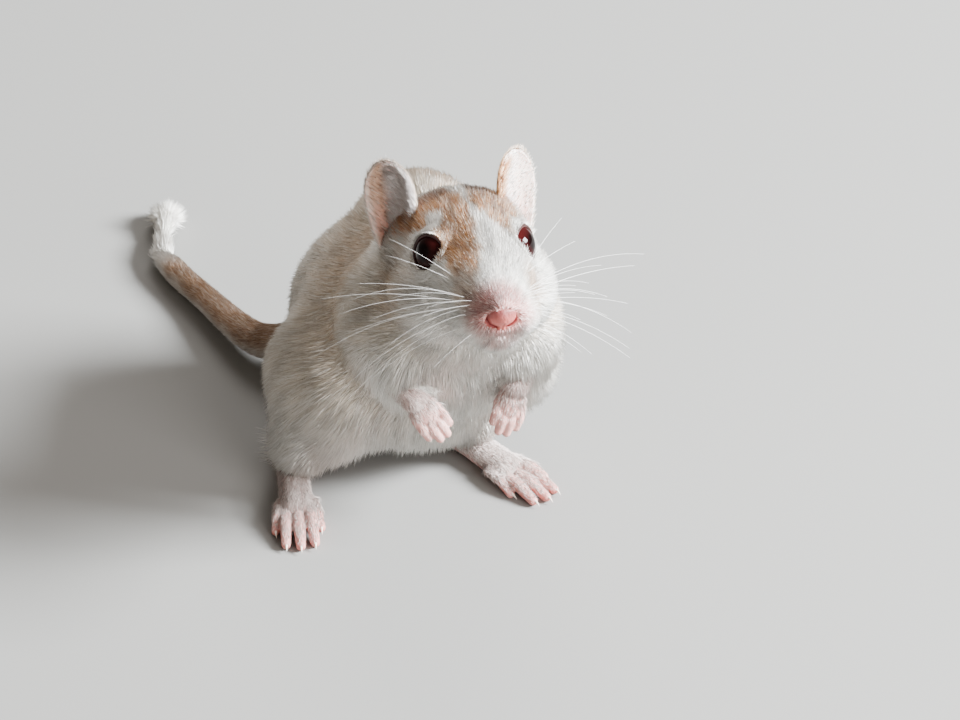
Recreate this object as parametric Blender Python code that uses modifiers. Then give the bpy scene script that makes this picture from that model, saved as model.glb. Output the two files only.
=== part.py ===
"""A life-size gerbil, crouched on its long hind feet with its forepaws held up before its chest.

Lengths are in millimetres here and are turned into metres where the meshes are made. The animal
faces -Y, its left side is +X, and it rests on the plane z = 0. The fleshy parts are modelled as
one body and then parted by thin cuts, so that each keeps a hair's gap to its neighbours. At the
end the whole is moved so that the middle of its footprint is the origin.
"""

import math
import random

import bmesh
import bpy
import numpy as np
from mathutils import Euler, Matrix, Vector
from mathutils.bvhtree import BVHTree

MM = 0.001
GAP = 0.3
BLOCK_SIZE = 400.0
WELD_DISTANCE = 0.00001
GOLDEN_ANGLE = math.pi * (3 - math.sqrt(5))
SIDE_NAMES = {-1: "right", 1: "left"}

COAT_COLOUR = (0.86, 0.80, 0.72)
SKIN_COLOUR = (0.80, 0.52, 0.46)
EYE_COLOUR = (0.03, 0.01, 0.01)

# Pelvis, turned a little to the left of the chest and head, so that the tail leaves to the right
PELVIS = (-2.0, 14.0)
PELVIS_YAW = 10.0

# Body: masses of flesh and coat as (centre, half sizes)
TRUNK_MASSES = (
    ((-1.5, 12.5, 18.0), (16.2, 18.0, 16.0)),
    ((2.0, 14.5, 27.5), (11.0, 16.5, 13.0)),
    ((-2.8, 21.5, 17.0), (13.5, 12.0, 15.0)),
    ((0.2, 3.0, 27.0), (13.5, 16.0, 14.5)),
    ((1.0, -4.0, 28.0), (12.0, 9.0, 10.5)),
    ((-8.2, -1.0, 30.2), (7.5, 9.4, 10.2)),
    ((9.5, -4.0, 28.0), (7.0, 9.0, 10.0)),
    ((0.0, -4.0, 40.0), (11.2, 10.5, 9.0)),
    ((0.8, -10.0, 36.5), (10.5, 8.0, 9.0)),
    ((-19.9, 5.6, 7.2), (4.2, 5.6, 5.4)),
    ((6.0, 6.5, 6.5), (4.0, 6.0, 5.0)),
)
HAUNCH_OUT = 14.3
HAUNCH_FORWARD = 3.5
HAUNCH_HEIGHT = 14.0
HAUNCH_RADII = (7.5, 11.3, 10.6)

# The oval cut that parts each thigh from the torso
THIGH_RADII = (12.0, 11.5)
THIGH_REACH = 7.0
PLUG_LENGTH = 40.0
PLUG_SIDES = 40

# Head, in its own frame: origin midway between the eyes, nose towards -Y
HEAD_PLACE = (0.7, -13.3, 46.8)
HEAD_YAW = -4.0
HEAD_PITCH = 18.0
HEAD_ROLL = 1.5
# Sections from the nose back: place along the head, half width, top, bottom
HEAD_SECTIONS = (
    (-16.3, 1.3, -3.0, -5.6),
    (-14.8, 2.7, -1.3, -7.0),
    (-12.0, 4.7, 0.5, -8.8),
    (-8.0, 6.4, 2.6, -10.4),
    (-4.0, 7.4, 4.3, -11.6),
    (0.0, 8.0, 5.8, -12.3),
    (5.0, 9.4, 7.0, -12.8),
    (10.0, 10.5, 7.2, -12.8),
    (15.0, 10.2, 6.0, -12.0),
    (19.0, 7.6, 3.0, -10.0),
)
NOSE_PAD = ((0.0, -15.7, -3.9), (2.4, 1.7, 2.0))
WHISKER_PAD = ((2.8, -10.6, -5.5), (3.5, 5.0, 3.4))
LOWER_LIP = ((0.0, -12.4, -8.2), (1.9, 2.6, 1.4))
CHIN = ((0.0, -10.4, -8.6), (3.0, 3.8, 2.6))
CHEEK = ((5.6, 4.0, -5.8), (6.0, 9.5, 6.8))

# Eyes, which look sideways, forwards and a little up, and the lids around them
EYE_RADIUS = 3.2
EYE_PLACE = (5.0, -0.4, 0.7)
EYE_GAZE_SIDE = 57.0
EYE_GAZE_UP = 15.0
LID_THICKNESS = 0.55
EYE_OPENING = (3.1, 2.7)
EYE_OPENING_POWER = 1.8
EYE_OPENING_TILT = 25.0
EYE_OPENING_DEPTHS = (0.2, 2.2)
EYE_OPENING_SIDES = 24

# Nostrils and the line of the mouth, cut into the head
NOSTRIL = ((1.25, -16.9, -3.9), (0.4, 1.0, 0.6))
NOSTRIL_TURN = 25.0
MOUTH_PATH = ((0.0, -20.0, -8.0), (1.6, -18.0, -8.2), (3.4, -15.0, -8.6), (5.4, -10.5, -8.4))
MOUTH_AIM = (0.0, -9.0, -6.5)
MOUTH_RADIUS = 0.3

# Ears: thin cups of skin, given from the base to the tip
EAR_BASE = (8.2, 9.0, 0.8)
EAR_TIP = (9.4, 11.2, 11.0)
EAR_SHIFT = -0.5
EAR_OPENING = (0.62, -0.78, 0.0)
EAR_HALF_WIDTH = 3.8
EAR_THICKNESS = 0.7
EAR_BASE_CURL = 160.0
EAR_TIP_CURL = 60.0
EAR_ROOT_DEPTH = 2.2
EAR_LEAN = 0.6
EAR_WIDEST = 0.62
EAR_ROOT_WIDTH = 0.65
EAR_TIP_WIDTH = 0.16
EAR_TIP_POWER = 2.2
EAR_ROWS = 12
EAR_COLUMNS = 10

# The thin cuts that part head, neck and torso; the first is given in the head's frame
NAPE_POINT = (0.0, 13.0, -3.0)
NAPE_NORMAL = (0.0, 0.75, -0.66)
COLLAR_POINT = (0.3, 2.0, 34.5)
COLLAR_NORMAL = (0.0, 0.45, -0.89)

# Where the join of head and trunk is softened, in the head's frame
NECK_BLEND_START = 9.0
NECK_BLEND_HEIGHT = -9.5
NECK_BLEND_WIDTH = 4.0
NECK_BLEND_REACH = 34.0
NECK_BLEND_ROUNDS = 60

# Hind feet: heel, direction of the toes from straight ahead, sole
HIND_HEELS = {"right": ((-19.3, 13.4), 10.5), "left": ((2.4, 12.6), -25.5)}
HIND_SOLE_POINTS = ((0.0, 0.0, 2.2), (0.0, 8.0, 2.0), (0.0, 17.0, 1.5))
HIND_SOLE_RADII = (2.5, 2.3, 2.5)
HIND_BALL = ((0.0, 16.0, 1.4), (3.1, 3.2, 1.9))
FOOT_FLATNESS = 0.95
# Toes from the outer side in: root across and along, tip across and along, radius
HIND_TOES = (
    (2.3, 15.5, 3.3, 20.6, 0.85),
    (1.5, 16.5, 2.0, 24.0, 0.95),
    (0.0, 17.0, 0.1, 24.6, 0.95),
    (-1.5, 16.5, -1.8, 24.0, 0.95),
    (-2.2, 15.0, -3.0, 20.4, 0.85),
)
TOE_KNUCKLE_LIFT = 0.7
TOE_ROOT_LIFT = 0.6
TOE_TAPER = 0.8
CLAW_LENGTH = 0.9
CLAW_RADII = (0.42, 0.22)
CLAW_POINT_HEIGHT = 0.35

# Forelimbs: elbow, wrist, fingertips; the hand is drawn from the wrist along its reach
FORELIMBS = {
    "right": ((-10.5, -5.0, 25.0), (-7.2, -11.2, 23.0), (-4.2, -14.4, 18.6)),
    "left": ((11.2, -6.5, 24.8), (6.7, -12.2, 22.9), (4.2, -14.6, 17.1)),
}
FOREARM_RADII = (2.6, 1.9)
PALM = ((0.0, 2.2, 0.0), (2.3, 2.9, 1.5))
PALM_UP = (0.0, -1.0, 0.35)
# Fingers: root across and along, tip across and along, radius
FINGERS = (
    (-1.6, 3.4, -1.9, 5.7, 0.7),
    (-0.55, 4.2, -0.7, 6.6, 0.72),
    (0.55, 4.2, 0.6, 6.6, 0.72),
    (1.6, 3.4, 1.8, 5.6, 0.7),
)
FINGER_BEND = -0.5
FINGER_CURL = 0.9
FINGER_TAPER = 0.75
NAIL_REACH = (0.7, 1.5)
NAIL_RADII = (0.3, 0.2)

# Tail: places and radii along its middle line, from inside the rump
TAIL_POINTS = (
    (-5.5, 26.0, 10.0), (-8.8, 31.0, 7.4), (-13.0, 33.8, 5.2), (-17.0, 36.4, 3.8),
    (-19.4, 43.5, 2.9), (-21.2, 52.0, 2.4), (-23.4, 59.2, 2.1), (-24.9, 65.0, 2.0),
    (-23.8, 72.0, 1.9), (-21.4, 79.0, 1.8),
)
TAIL_RADII = (3.5, 3.4, 3.1, 2.8, 2.5, 2.2, 2.1, 2.1, 2.0, 1.4)
TAIL_ROOT_END = 0.42
TAIL_MIDDLE_END = 0.74
TAIL_STEP = 0.01

# Tuft at the end of the tail: flat tapered locks that leave the tail backwards
TUFT_LOCKS = 18
TUFT_SPAN = (0.71, 0.95)
TUFT_LOCK_LENGTH = (7.0, 8.6)
TUFT_LOCK_WIDTH = 2.8
TUFT_LOCK_THICKNESS = 0.9
TUFT_SPREAD = 2.5
TUFT_TIP_RISE = 0.5
TUFT_SEED = 5
# Rings of a lock: share of its length, how far it stands off the tail, fullness
TUFT_LOCK_RINGS = ((0.0, 0.3, 1.0), (0.35, 0.85, 0.95), (0.7, 0.8, 0.75))

# Finenesses of the flesh as it is modelled and the share of its triangles that is kept
TRUNK_VOXEL = 1.3
FLESH_VOXEL = 0.55
PAW_VOXEL = 0.28
BODY_KEPT = 0.036
HEAD_KEPT = 0.092
FOOT_KEPT = 0.075
LIMB_KEPT = 0.12
CLEARANCE_KEPT = 0.25


def clear_scene():
    for obj in list(bpy.data.objects):
        bpy.data.objects.remove(obj)


def add_object(name, mesh):
    obj = bpy.data.objects.new(name, mesh)
    bpy.context.scene.collection.objects.link(obj)
    return obj


def object_from(name, bm):
    """Puts a bmesh, drawn in millimetres, into a new object in metres."""
    bm.transform(Matrix.Scale(MM, 4))
    mesh = bpy.data.meshes.new(name)
    bm.to_mesh(mesh)
    bm.free()
    return add_object(name, mesh)


def apply_modifiers(obj):
    graph = bpy.context.evaluated_depsgraph_get()
    mesh = bpy.data.meshes.new_from_object(obj.evaluated_get(graph))
    obj.modifiers.clear()
    obj.data = mesh
    return obj


def unit_ball(segments, rings):
    """The mesh of a ball of radius one, made once for each fineness."""
    name = f"ball_{segments}_{rings}"
    if name not in bpy.data.meshes:
        bm = bmesh.new()
        bmesh.ops.create_uvsphere(bm, u_segments=segments, v_segments=rings, radius=1)
        bm.to_mesh(bpy.data.meshes.new(name))
        bm.free()
    return bpy.data.meshes[name]


def add_ellipsoid(bm, centre, radii, turn=(0, 0, 0), segments=32, rings=20):
    turned = Euler([math.radians(t) for t in turn]).to_quaternion()
    ball = unit_ball(segments, rings).copy()
    ball.transform(Matrix.LocRotScale(Vector(centre), turned, Vector(radii)))
    bm.from_mesh(ball)
    bpy.data.meshes.remove(ball)


def add_chain(bm, points, radii, flat=1.0):
    """A tapered limb as a close row of balls along a polyline, each pressed to flat times its height."""
    for i in range(len(points) - 1):
        start, end = Vector(points[i]), Vector(points[i + 1])
        count = max(2, math.ceil((end - start).length / (0.3 * min(radii[i], radii[i + 1]))))
        for k in range(count + 1):
            share = k / count
            radius = radii[i] + share * (radii[i + 1] - radii[i])
            place = start.lerp(end, share)
            add_ellipsoid(bm, place, (radius, radius, radius * flat), segments=16, rings=10)


def add_loft(bm, sections, sides=40, power=2.2):
    """A closed form through rounded sections given as (y, half width, top, bottom)."""
    rings = []
    for y, half_width, top, bottom in sections:
        middle, half_height = (top + bottom) / 2, (top - bottom) / 2
        ring = []
        for k in range(sides):
            angle = 2 * math.pi * k / sides
            across, up = math.cos(angle), math.sin(angle)
            x = half_width * math.copysign(abs(across) ** (2 / power), across)
            z = middle + half_height * math.copysign(abs(up) ** (2 / power), up)
            ring.append(bm.verts.new((x, y, z)))
        rings.append(ring)
    for near, far in zip(rings, rings[1:]):
        for k in range(sides):
            m = (k + 1) % sides
            bm.faces.new((near[k], near[m], far[m], far[k]))
    bm.faces.new(rings[0][::-1])
    bm.faces.new(rings[-1])


def melt(obj, voxel, rounds):
    """Turns overlapping closed forms into one smooth skin."""
    remesh = obj.modifiers.new("skin", "REMESH")
    remesh.mode = "VOXEL"
    remesh.voxel_size = voxel * MM
    if rounds:
        smooth = obj.modifiers.new("smooth", "SMOOTH")
        smooth.factor = 0.5
        smooth.iterations = rounds
    return apply_modifiers(obj)


def join(name, parts):
    """One object holding the meshes of several, which are then removed."""
    bm = bmesh.new()
    for part in parts:
        part.data.transform(part.matrix_world)
        bm.from_mesh(part.data)
        bpy.data.objects.remove(part)
    mesh = bpy.data.meshes.new(name)
    bm.to_mesh(mesh)
    bm.free()
    return add_object(name, mesh)


def thin_out(obj, ratio):
    decimate = obj.modifiers.new("thin", "DECIMATE")
    decimate.ratio = ratio
    decimate.use_collapse_triangulate = True
    return apply_modifiers(obj)


def head_frame():
    turn = Matrix.Rotation(math.radians(HEAD_YAW), 4, "Z")
    tilt = Matrix.Rotation(math.radians(-HEAD_PITCH), 4, "X")
    roll = Matrix.Rotation(math.radians(HEAD_ROLL), 4, "Y")
    return Matrix.Translation(Vector(HEAD_PLACE)) @ turn @ tilt @ roll


def pelvis_point(across, forward, height):
    """A point given from the middle of the pelvis, across to the left and forward."""
    yaw = math.radians(PELVIS_YAW)
    x = PELVIS[0] + across * math.cos(yaw) + forward * math.sin(yaw)
    y = PELVIS[1] + across * math.sin(yaw) - forward * math.cos(yaw)
    return Vector((x, y, height))


def haunch_centre(side):
    return pelvis_point(side * HAUNCH_OUT, HAUNCH_FORWARD, HAUNCH_HEIGHT)


def thigh_plug(side, growth):
    """An oval plug that reaches in from the side of the haunch."""
    bm = bmesh.new()
    centre = haunch_centre(side)
    bmesh.ops.create_cone(bm, segments=PLUG_SIDES, radius1=1, radius2=1, depth=2, cap_ends=True)
    radii = Vector((THIGH_RADII[1] + growth, THIGH_RADII[0] + growth, PLUG_LENGTH / 2))
    bm.transform(Matrix.Diagonal(radii).to_4x4())
    bm.transform(Matrix.Rotation(math.pi / 2, 4, "Y"))
    bm.transform(Matrix.Translation((side * (PLUG_LENGTH / 2 - growth), 0, 0)))
    bm.transform(Matrix.Rotation(math.radians(PELVIS_YAW), 4, "Z"))
    inner = centre - Vector((side * (HAUNCH_OUT - THIGH_REACH), 0, 0))
    bm.transform(Matrix.Translation(inner))
    return object_from("plug", bm)


def trunk():
    bm = bmesh.new()
    for centre, radii in TRUNK_MASSES:
        add_ellipsoid(bm, centre, radii)
    for side in (-1, 1):
        add_ellipsoid(bm, haunch_centre(side), HAUNCH_RADII, (0, 0, PELVIS_YAW))
    return melt(object_from("trunk", bm), TRUNK_VOXEL, 14)


def head_block():
    bm = bmesh.new()
    add_loft(bm, HEAD_SECTIONS)
    add_ellipsoid(bm, *NOSE_PAD)
    add_ellipsoid(bm, *CHIN)
    add_ellipsoid(bm, *LOWER_LIP)
    lid_radius = EYE_RADIUS + GAP + LID_THICKNESS
    for side in (-1, 1):
        add_ellipsoid(bm, eye_place(side), [lid_radius] * 3)
        for centre, radii in (WHISKER_PAD, CHEEK):
            add_ellipsoid(bm, (side * centre[0], *centre[1:]), radii)
    bm.transform(head_frame())
    return melt(object_from("head_block", bm), FLESH_VOXEL, 8)


def blend_neck(obj):
    """Softens the flesh where head and trunk meet, and leaves the face and the haunches as they are."""
    into_head = head_frame().inverted()
    group = obj.vertex_groups.new(name="neck")
    for vertex in obj.data.vertices:
        place = into_head @ (vertex.co / MM)
        behind = (place.y - NECK_BLEND_START) / NECK_BLEND_WIDTH
        below = (NECK_BLEND_HEIGHT - place.z) / NECK_BLEND_WIDTH
        far = (NECK_BLEND_REACH - place.length) / NECK_BLEND_WIDTH
        weight = min(max(behind, below), far)
        group.add([vertex.index], max(0.0, min(1.0, weight)), "REPLACE")
    smooth = obj.modifiers.new("smooth", "SMOOTH")
    smooth.factor = 0.5
    smooth.iterations = NECK_BLEND_ROUNDS
    smooth.vertex_group = group.name
    apply_modifiers(obj)


def inflated(obj, distance, name="clearance"):
    """A copy of a mesh, moved out along its normals by a distance in millimetres."""
    mesh = obj.data.copy()
    places = [v.co + v.normal * distance * MM for v in mesh.vertices]
    for vertex, place in zip(mesh.vertices, places):
        vertex.co = place
    return add_object(name, mesh)


def copy_of(obj, name):
    return add_object(name, obj.data.copy())


def boolean(obj, cutter, operation="DIFFERENCE", keep_cutter=False):
    cut = obj.modifiers.new("cut", "BOOLEAN")
    cut.operation = operation
    cut.object = cutter
    apply_modifiers(obj)
    if not keep_cutter:
        bpy.data.objects.remove(cutter)
    return obj


def largest_body(obj):
    """Keeps only the largest closed surface of a mesh, facing outwards."""
    bm = bmesh.new()
    bm.from_mesh(obj.data)
    unseen, bodies = set(bm.verts), []
    while unseen:
        body, edge = set(), [unseen.pop()]
        while edge:
            vertex = edge.pop()
            body.add(vertex)
            for link in vertex.link_edges:
                other = link.other_vert(vertex)
                if other in unseen:
                    unseen.remove(other)
                    edge.append(other)
        bodies.append(body)
    bodies.sort(key=len)
    for body in bodies[:-1]:
        bmesh.ops.delete(bm, geom=list(body), context="VERTS")
    bmesh.ops.recalc_face_normals(bm, faces=bm.faces)
    bm.to_mesh(obj.data)
    bm.free()
    return obj


def half_space(point, normal, name="half"):
    """A large block on the side of a plane that its normal points to."""
    bm = bmesh.new()
    bmesh.ops.create_cube(bm, size=BLOCK_SIZE)
    turn = Vector((0, 0, 1)).rotation_difference(Vector(normal)).to_matrix().to_4x4()
    place = Matrix.Translation(Vector(point)) @ turn @ Matrix.Translation((0, 0, BLOCK_SIZE / 2))
    bm.transform(place)
    return object_from(name, bm)


def shifted(point, normal, distance):
    return Vector(point) + Vector(normal).normalized() * distance


def eye_gaze(side):
    out, up = math.radians(EYE_GAZE_SIDE), math.radians(EYE_GAZE_UP)
    across = side * math.sin(out) * math.cos(up)
    return Vector((across, -math.cos(out) * math.cos(up), math.sin(up)))


def eye_place(side):
    return Vector((side * EYE_PLACE[0], EYE_PLACE[1], EYE_PLACE[2]))


def eyeball(side):
    bm = bmesh.new()
    add_ellipsoid(bm, eye_place(side), [EYE_RADIUS] * 3, segments=18, rings=11)
    bm.transform(head_frame())
    return object_from("eye_" + SIDE_NAMES[side], bm)


def eye_socket(side):
    bm = bmesh.new()
    add_ellipsoid(bm, eye_place(side), [EYE_RADIUS + GAP] * 3, segments=28, rings=18)
    bm.transform(head_frame())
    return object_from("socket", bm)


def eye_opening(side):
    """An almond prism that leaves the eye along its gaze."""
    gaze = eye_gaze(side)
    level = gaze.cross(Vector((0, 0, 1))).normalized()
    tilt = Matrix.Rotation(math.radians(-side * EYE_OPENING_TILT), 3, gaze)
    level, up = tilt @ level, tilt @ level.cross(gaze)
    bm = bmesh.new()
    rings = []
    for depth in EYE_OPENING_DEPTHS:
        ring = []
        for k in range(EYE_OPENING_SIDES):
            angle = 2 * math.pi * k / EYE_OPENING_SIDES
            c, s = math.cos(angle), math.sin(angle)
            across = EYE_OPENING[0] * math.copysign(abs(c) ** (2 / EYE_OPENING_POWER), c)
            rise = EYE_OPENING[1] * math.copysign(abs(s) ** (2 / EYE_OPENING_POWER), s)
            place = eye_place(side) + gaze * depth * EYE_RADIUS + level * across + up * rise
            ring.append(bm.verts.new(place))
        rings.append(ring)
    for k in range(EYE_OPENING_SIDES):
        m = (k + 1) % EYE_OPENING_SIDES
        bm.faces.new((rings[0][k], rings[0][m], rings[1][m], rings[1][k]))
    bm.faces.new(rings[0][::-1])
    bm.faces.new(rings[1])
    bmesh.ops.recalc_face_normals(bm, faces=bm.faces)
    bm.transform(head_frame())
    return object_from("opening", bm)


def nostril(side):
    centre, radii = NOSTRIL
    bm = bmesh.new()
    place = (side * centre[0], centre[1], centre[2])
    add_ellipsoid(bm, place, radii, (0, 0, side * NOSTRIL_TURN), segments=10, rings=8)
    bm.transform(head_frame())
    return object_from("nostril", bm)


def mouth_line(head):
    """A thin tube that runs over the muzzle from one corner of the mouth to the other."""
    tree = BVHTree.FromObject(head, bpy.context.evaluated_depsgraph_get())
    frame = head_frame()
    aim = frame @ Vector(MOUTH_AIM)
    half = [Vector(point) for point in MOUTH_PATH]
    path = [Vector((-q.x, q.y, q.z)) for q in half[:0:-1]] + half
    curve = bpy.data.curves.new("mouth", "CURVE")
    curve.dimensions = "3D"
    spline = curve.splines.new("NURBS")
    spline.points.add(len(path) - 1)
    for k, point in enumerate(path):
        start = frame @ point
        hit = tree.ray_cast(start * MM, (aim - start).normalized())[0]
        spline.points[k].co = (*hit, 1)
    spline.use_endpoint_u = True
    spline.order_u = 4
    spline.resolution_u = 4
    curve.bevel_depth = MOUTH_RADIUS * MM
    curve.bevel_resolution = 1
    curve.use_fill_caps = True
    return mesh_from_curve("mouth", curve)


def mesh_from_curve(name, curve):
    """A closed mesh from a bevelled curve, with its caps welded on."""
    holder = add_object(name + "_curve", curve)
    graph = bpy.context.evaluated_depsgraph_get()
    mesh = bpy.data.meshes.new_from_object(holder.evaluated_get(graph))
    bpy.data.objects.remove(holder)
    bm = bmesh.new()
    bm.from_mesh(mesh)
    bmesh.ops.remove_doubles(bm, verts=bm.verts, dist=WELD_DISTANCE)
    bmesh.ops.recalc_face_normals(bm, faces=bm.faces)
    bm.to_mesh(mesh)
    bm.free()
    return add_object(name, mesh)


def ear(side, head_clearance):
    """A curled sheet of skin, rolled nearly shut at its root and open towards its rounded tip."""
    base = Vector((side * EAR_BASE[0] + EAR_SHIFT, *EAR_BASE[1:]))
    tip = Vector((side * EAR_TIP[0] + EAR_SHIFT, *EAR_TIP[1:]))
    axis = (tip - base).normalized()
    facing = Vector((side * EAR_OPENING[0], *EAR_OPENING[1:]))
    facing = (facing - axis * facing.dot(axis)).normalized()
    level = axis.cross(facing)
    root = base - axis * EAR_ROOT_DEPTH
    length = (tip - root).length
    bm = bmesh.new()
    grid = []
    for i in range(EAR_ROWS + 1):
        share = i / EAR_ROWS
        half_width = EAR_HALF_WIDTH * ear_width(share)
        curl = math.radians(EAR_BASE_CURL + (EAR_TIP_CURL - EAR_BASE_CURL) * share)
        radius = half_width / math.sin(min(curl, math.pi) / 2)
        row = []
        for k in range(EAR_COLUMNS + 1):
            angle = curl * (k / EAR_COLUMNS - 0.5)
            back = radius * (math.cos(angle) - math.cos(min(curl, math.pi) / 2))
            place = root + axis * length * share - facing * (back - EAR_LEAN * (1 - share))
            row.append(bm.verts.new(place + level * radius * math.sin(angle)))
        grid.append(row)
    for lower, upper in zip(grid, grid[1:]):
        for k in range(EAR_COLUMNS):
            bm.faces.new((lower[k], lower[k + 1], upper[k + 1], upper[k]))
    bm.transform(head_frame())
    cup = object_from("ear_" + SIDE_NAMES[side], bm)
    wall = cup.modifiers.new("wall", "SOLIDIFY")
    wall.thickness = EAR_THICKNESS * MM
    wall.offset = 0
    wall.use_even_offset = True
    apply_modifiers(cup)
    boolean(cup, head_clearance, keep_cutter=True)
    return largest_body(cup)


def ear_width(share):
    """Half width of the ear along its length: narrow at the root, widest past the middle."""
    if share < EAR_WIDEST:
        return EAR_ROOT_WIDTH + (1 - EAR_ROOT_WIDTH) * math.sin(math.pi / 2 * share / EAR_WIDEST)
    rest = (share - EAR_WIDEST) / (1 - EAR_WIDEST)
    return max(EAR_TIP_WIDTH, math.sqrt(max(0.0, 1 - rest ** EAR_TIP_POWER)))


def foot_frame(name):
    (x, y), splay = HIND_HEELS[name]
    return Matrix.Translation((x, y, 0)) @ Matrix.Rotation(math.radians(180 - splay), 4, "Z")


def hind_foot(name):
    """A long foot, flat on the floor, with three long toes between two short ones."""
    mirror = 1 if name == "right" else -1
    bm = bmesh.new()
    add_chain(bm, HIND_SOLE_POINTS, HIND_SOLE_RADII, FOOT_FLATNESS)
    add_ellipsoid(bm, HIND_BALL[0], HIND_BALL[1])
    for root_x, root_y, tip_x, tip_y, radius in HIND_TOES:
        middle_x, middle_y = mirror * (root_x + tip_x) / 2, (root_y + tip_y) / 2
        root = (mirror * root_x, root_y, radius + TOE_ROOT_LIFT)
        knuckle = (middle_x, middle_y, radius + TOE_KNUCKLE_LIFT)
        tip = (mirror * tip_x, tip_y - radius, radius * TOE_TAPER)
        add_chain(bm, (root, knuckle, tip), (radius, radius, radius * TOE_TAPER))
        claw = (mirror * tip_x, tip_y - radius / 2, radius)
        point = (mirror * tip_x, tip_y + CLAW_LENGTH, CLAW_POINT_HEIGHT)
        add_chain(bm, (claw, point), CLAW_RADII)
    bm.transform(foot_frame(name))
    foot = melt(object_from("hind_foot_" + name, bm), PAW_VOXEL, 3)
    return boolean(thin_out(foot, FOOT_KEPT), half_space((0, 0, 0), (0, 0, -1)))


def foot_clearance(name):
    bm = bmesh.new()
    radii = [radius + GAP for radius in HIND_SOLE_RADII]
    flatness = FOOT_FLATNESS + GAP / HIND_SOLE_RADII[0] / 2
    add_chain(bm, HIND_SOLE_POINTS, radii, flatness)
    bm.transform(foot_frame(name))
    return thin_out(melt(object_from("foot_room", bm), FLESH_VOXEL, 1), CLEARANCE_KEPT)


def forelimb(name):
    """Forearm and hand as one form, which the wrist then parts."""
    elbow, wrist, fingertips = (Vector(point) for point in FORELIMBS[name])
    reach = (fingertips - wrist).normalized()
    across = reach.cross(Vector(PALM_UP)).normalized()
    palm = across.cross(reach)
    bm = bmesh.new()
    add_ellipsoid(bm, *PALM)
    for root_x, root_y, tip_x, tip_y, radius in FINGERS:
        bend = ((root_x + tip_x) / 2, (root_y + tip_y) / 2, FINGER_BEND)
        tip = (tip_x, tip_y, FINGER_CURL)
        add_chain(bm, ((root_x, root_y, 0), bend, tip), (radius, radius, radius * FINGER_TAPER))
        nail = (tip_x, tip_y + NAIL_REACH[0], NAIL_REACH[1])
        add_chain(bm, (tip, nail), NAIL_RADII)
    hand = Matrix((across, reach, palm)).transposed().to_4x4()
    bm.transform(Matrix.Translation(wrist) @ hand)
    add_chain(bm, (elbow, wrist), FOREARM_RADII)
    limb = melt(object_from("limb", bm), PAW_VOXEL, 3)
    return limb, wrist, reach


def tail_curve():
    curve = bpy.data.curves.new("tail", "CURVE")
    curve.dimensions = "3D"
    spline = curve.splines.new("NURBS")
    spline.points.add(len(TAIL_POINTS) - 1)
    for point, place, radius in zip(spline.points, TAIL_POINTS, TAIL_RADII):
        point.co = (*[value * MM for value in place], 1)
        point.radius = radius
    spline.use_endpoint_u = True
    spline.order_u = 4
    spline.resolution_u = 5
    curve.bevel_depth = MM
    curve.bevel_resolution = 3
    curve.use_fill_caps = True
    return curve


def tail_length():
    points = [Vector(place) for place in TAIL_POINTS]
    return sum((b - a).length for a, b in zip(points, points[1:]))


def tail_point(share):
    """The place at a share of the tail's length, from its guide points and on past its end."""
    points = [Vector(place) for place in TAIL_POINTS]
    left = share * tail_length()
    for start, end in zip(points, points[1:]):
        length = (end - start).length
        if left <= length:
            break
        left -= length
    way = (end - start).normalized()
    return start + way * left if left <= length else end + way * left


def along_tail(share):
    """Place and direction at a share of the tail's length."""
    before, after = tail_point(share - TAIL_STEP), tail_point(share + TAIL_STEP)
    return tail_point(share), (after - before).normalized()


def tuft_lock(share, angle, length, name):
    """One flat lock: it rises from the tail, lies along the next stretch of it and ends in a point."""
    root, end = tail_point(share), tail_point(share + length / tail_length())
    along = (end - root).normalized()
    side = along.cross(Vector((0, 0, 1))).normalized()
    outward = side * math.cos(angle) + side.cross(along) * math.sin(angle)
    bm = bmesh.new()
    rings = []
    for along_lock, rise, fullness in TUFT_LOCK_RINGS:
        middle = root.lerp(end, along_lock) + outward * rise * TUFT_SPREAD
        across = along.cross(outward) * TUFT_LOCK_WIDTH / 2 * fullness
        over = outward * TUFT_LOCK_THICKNESS / 2 * math.sqrt(fullness)
        rings.append([bm.verts.new(middle + corner) for corner in (across, over, -across, -over)])
    tip = bm.verts.new(end + outward * TUFT_TIP_RISE * TUFT_SPREAD)
    for near, far in zip(rings, rings[1:]):
        for k in range(4):
            m = (k + 1) % 4
            bm.faces.new((near[k], near[m], far[m], far[k]))
    for k in range(4):
        bm.faces.new((rings[-1][k], rings[-1][(k + 1) % 4], tip))
    bm.faces.new(rings[0][::-1])
    bmesh.ops.triangulate(bm, faces=bm.faces)
    bmesh.ops.recalc_face_normals(bm, faces=bm.faces)
    return object_from(name, bm)


def tuft_locks():
    draw = random.Random(TUFT_SEED)
    locks = []
    for k in range(TUFT_LOCKS):
        share = TUFT_SPAN[0] + (TUFT_SPAN[1] - TUFT_SPAN[0]) * (k + 0.5) / TUFT_LOCKS
        length = draw.uniform(*TUFT_LOCK_LENGTH)
        locks.append(tuft_lock(share, k * GOLDEN_ANGLE, length, f"lock_{k}"))
    return locks


def fuse(obj, pieces):
    """One Boolean union of a body with closed pieces that are rooted in it."""
    group = bpy.data.collections.new("pieces")
    bpy.context.scene.collection.children.link(group)
    for piece in pieces:
        bpy.context.scene.collection.objects.unlink(piece)
        group.objects.link(piece)
    union = obj.modifiers.new("fuse", "BOOLEAN")
    union.operation = "UNION"
    union.operand_type = "COLLECTION"
    union.collection = group
    apply_modifiers(obj)
    for piece in pieces:
        bpy.data.objects.remove(piece)
    bpy.data.collections.remove(group)
    return obj


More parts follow.
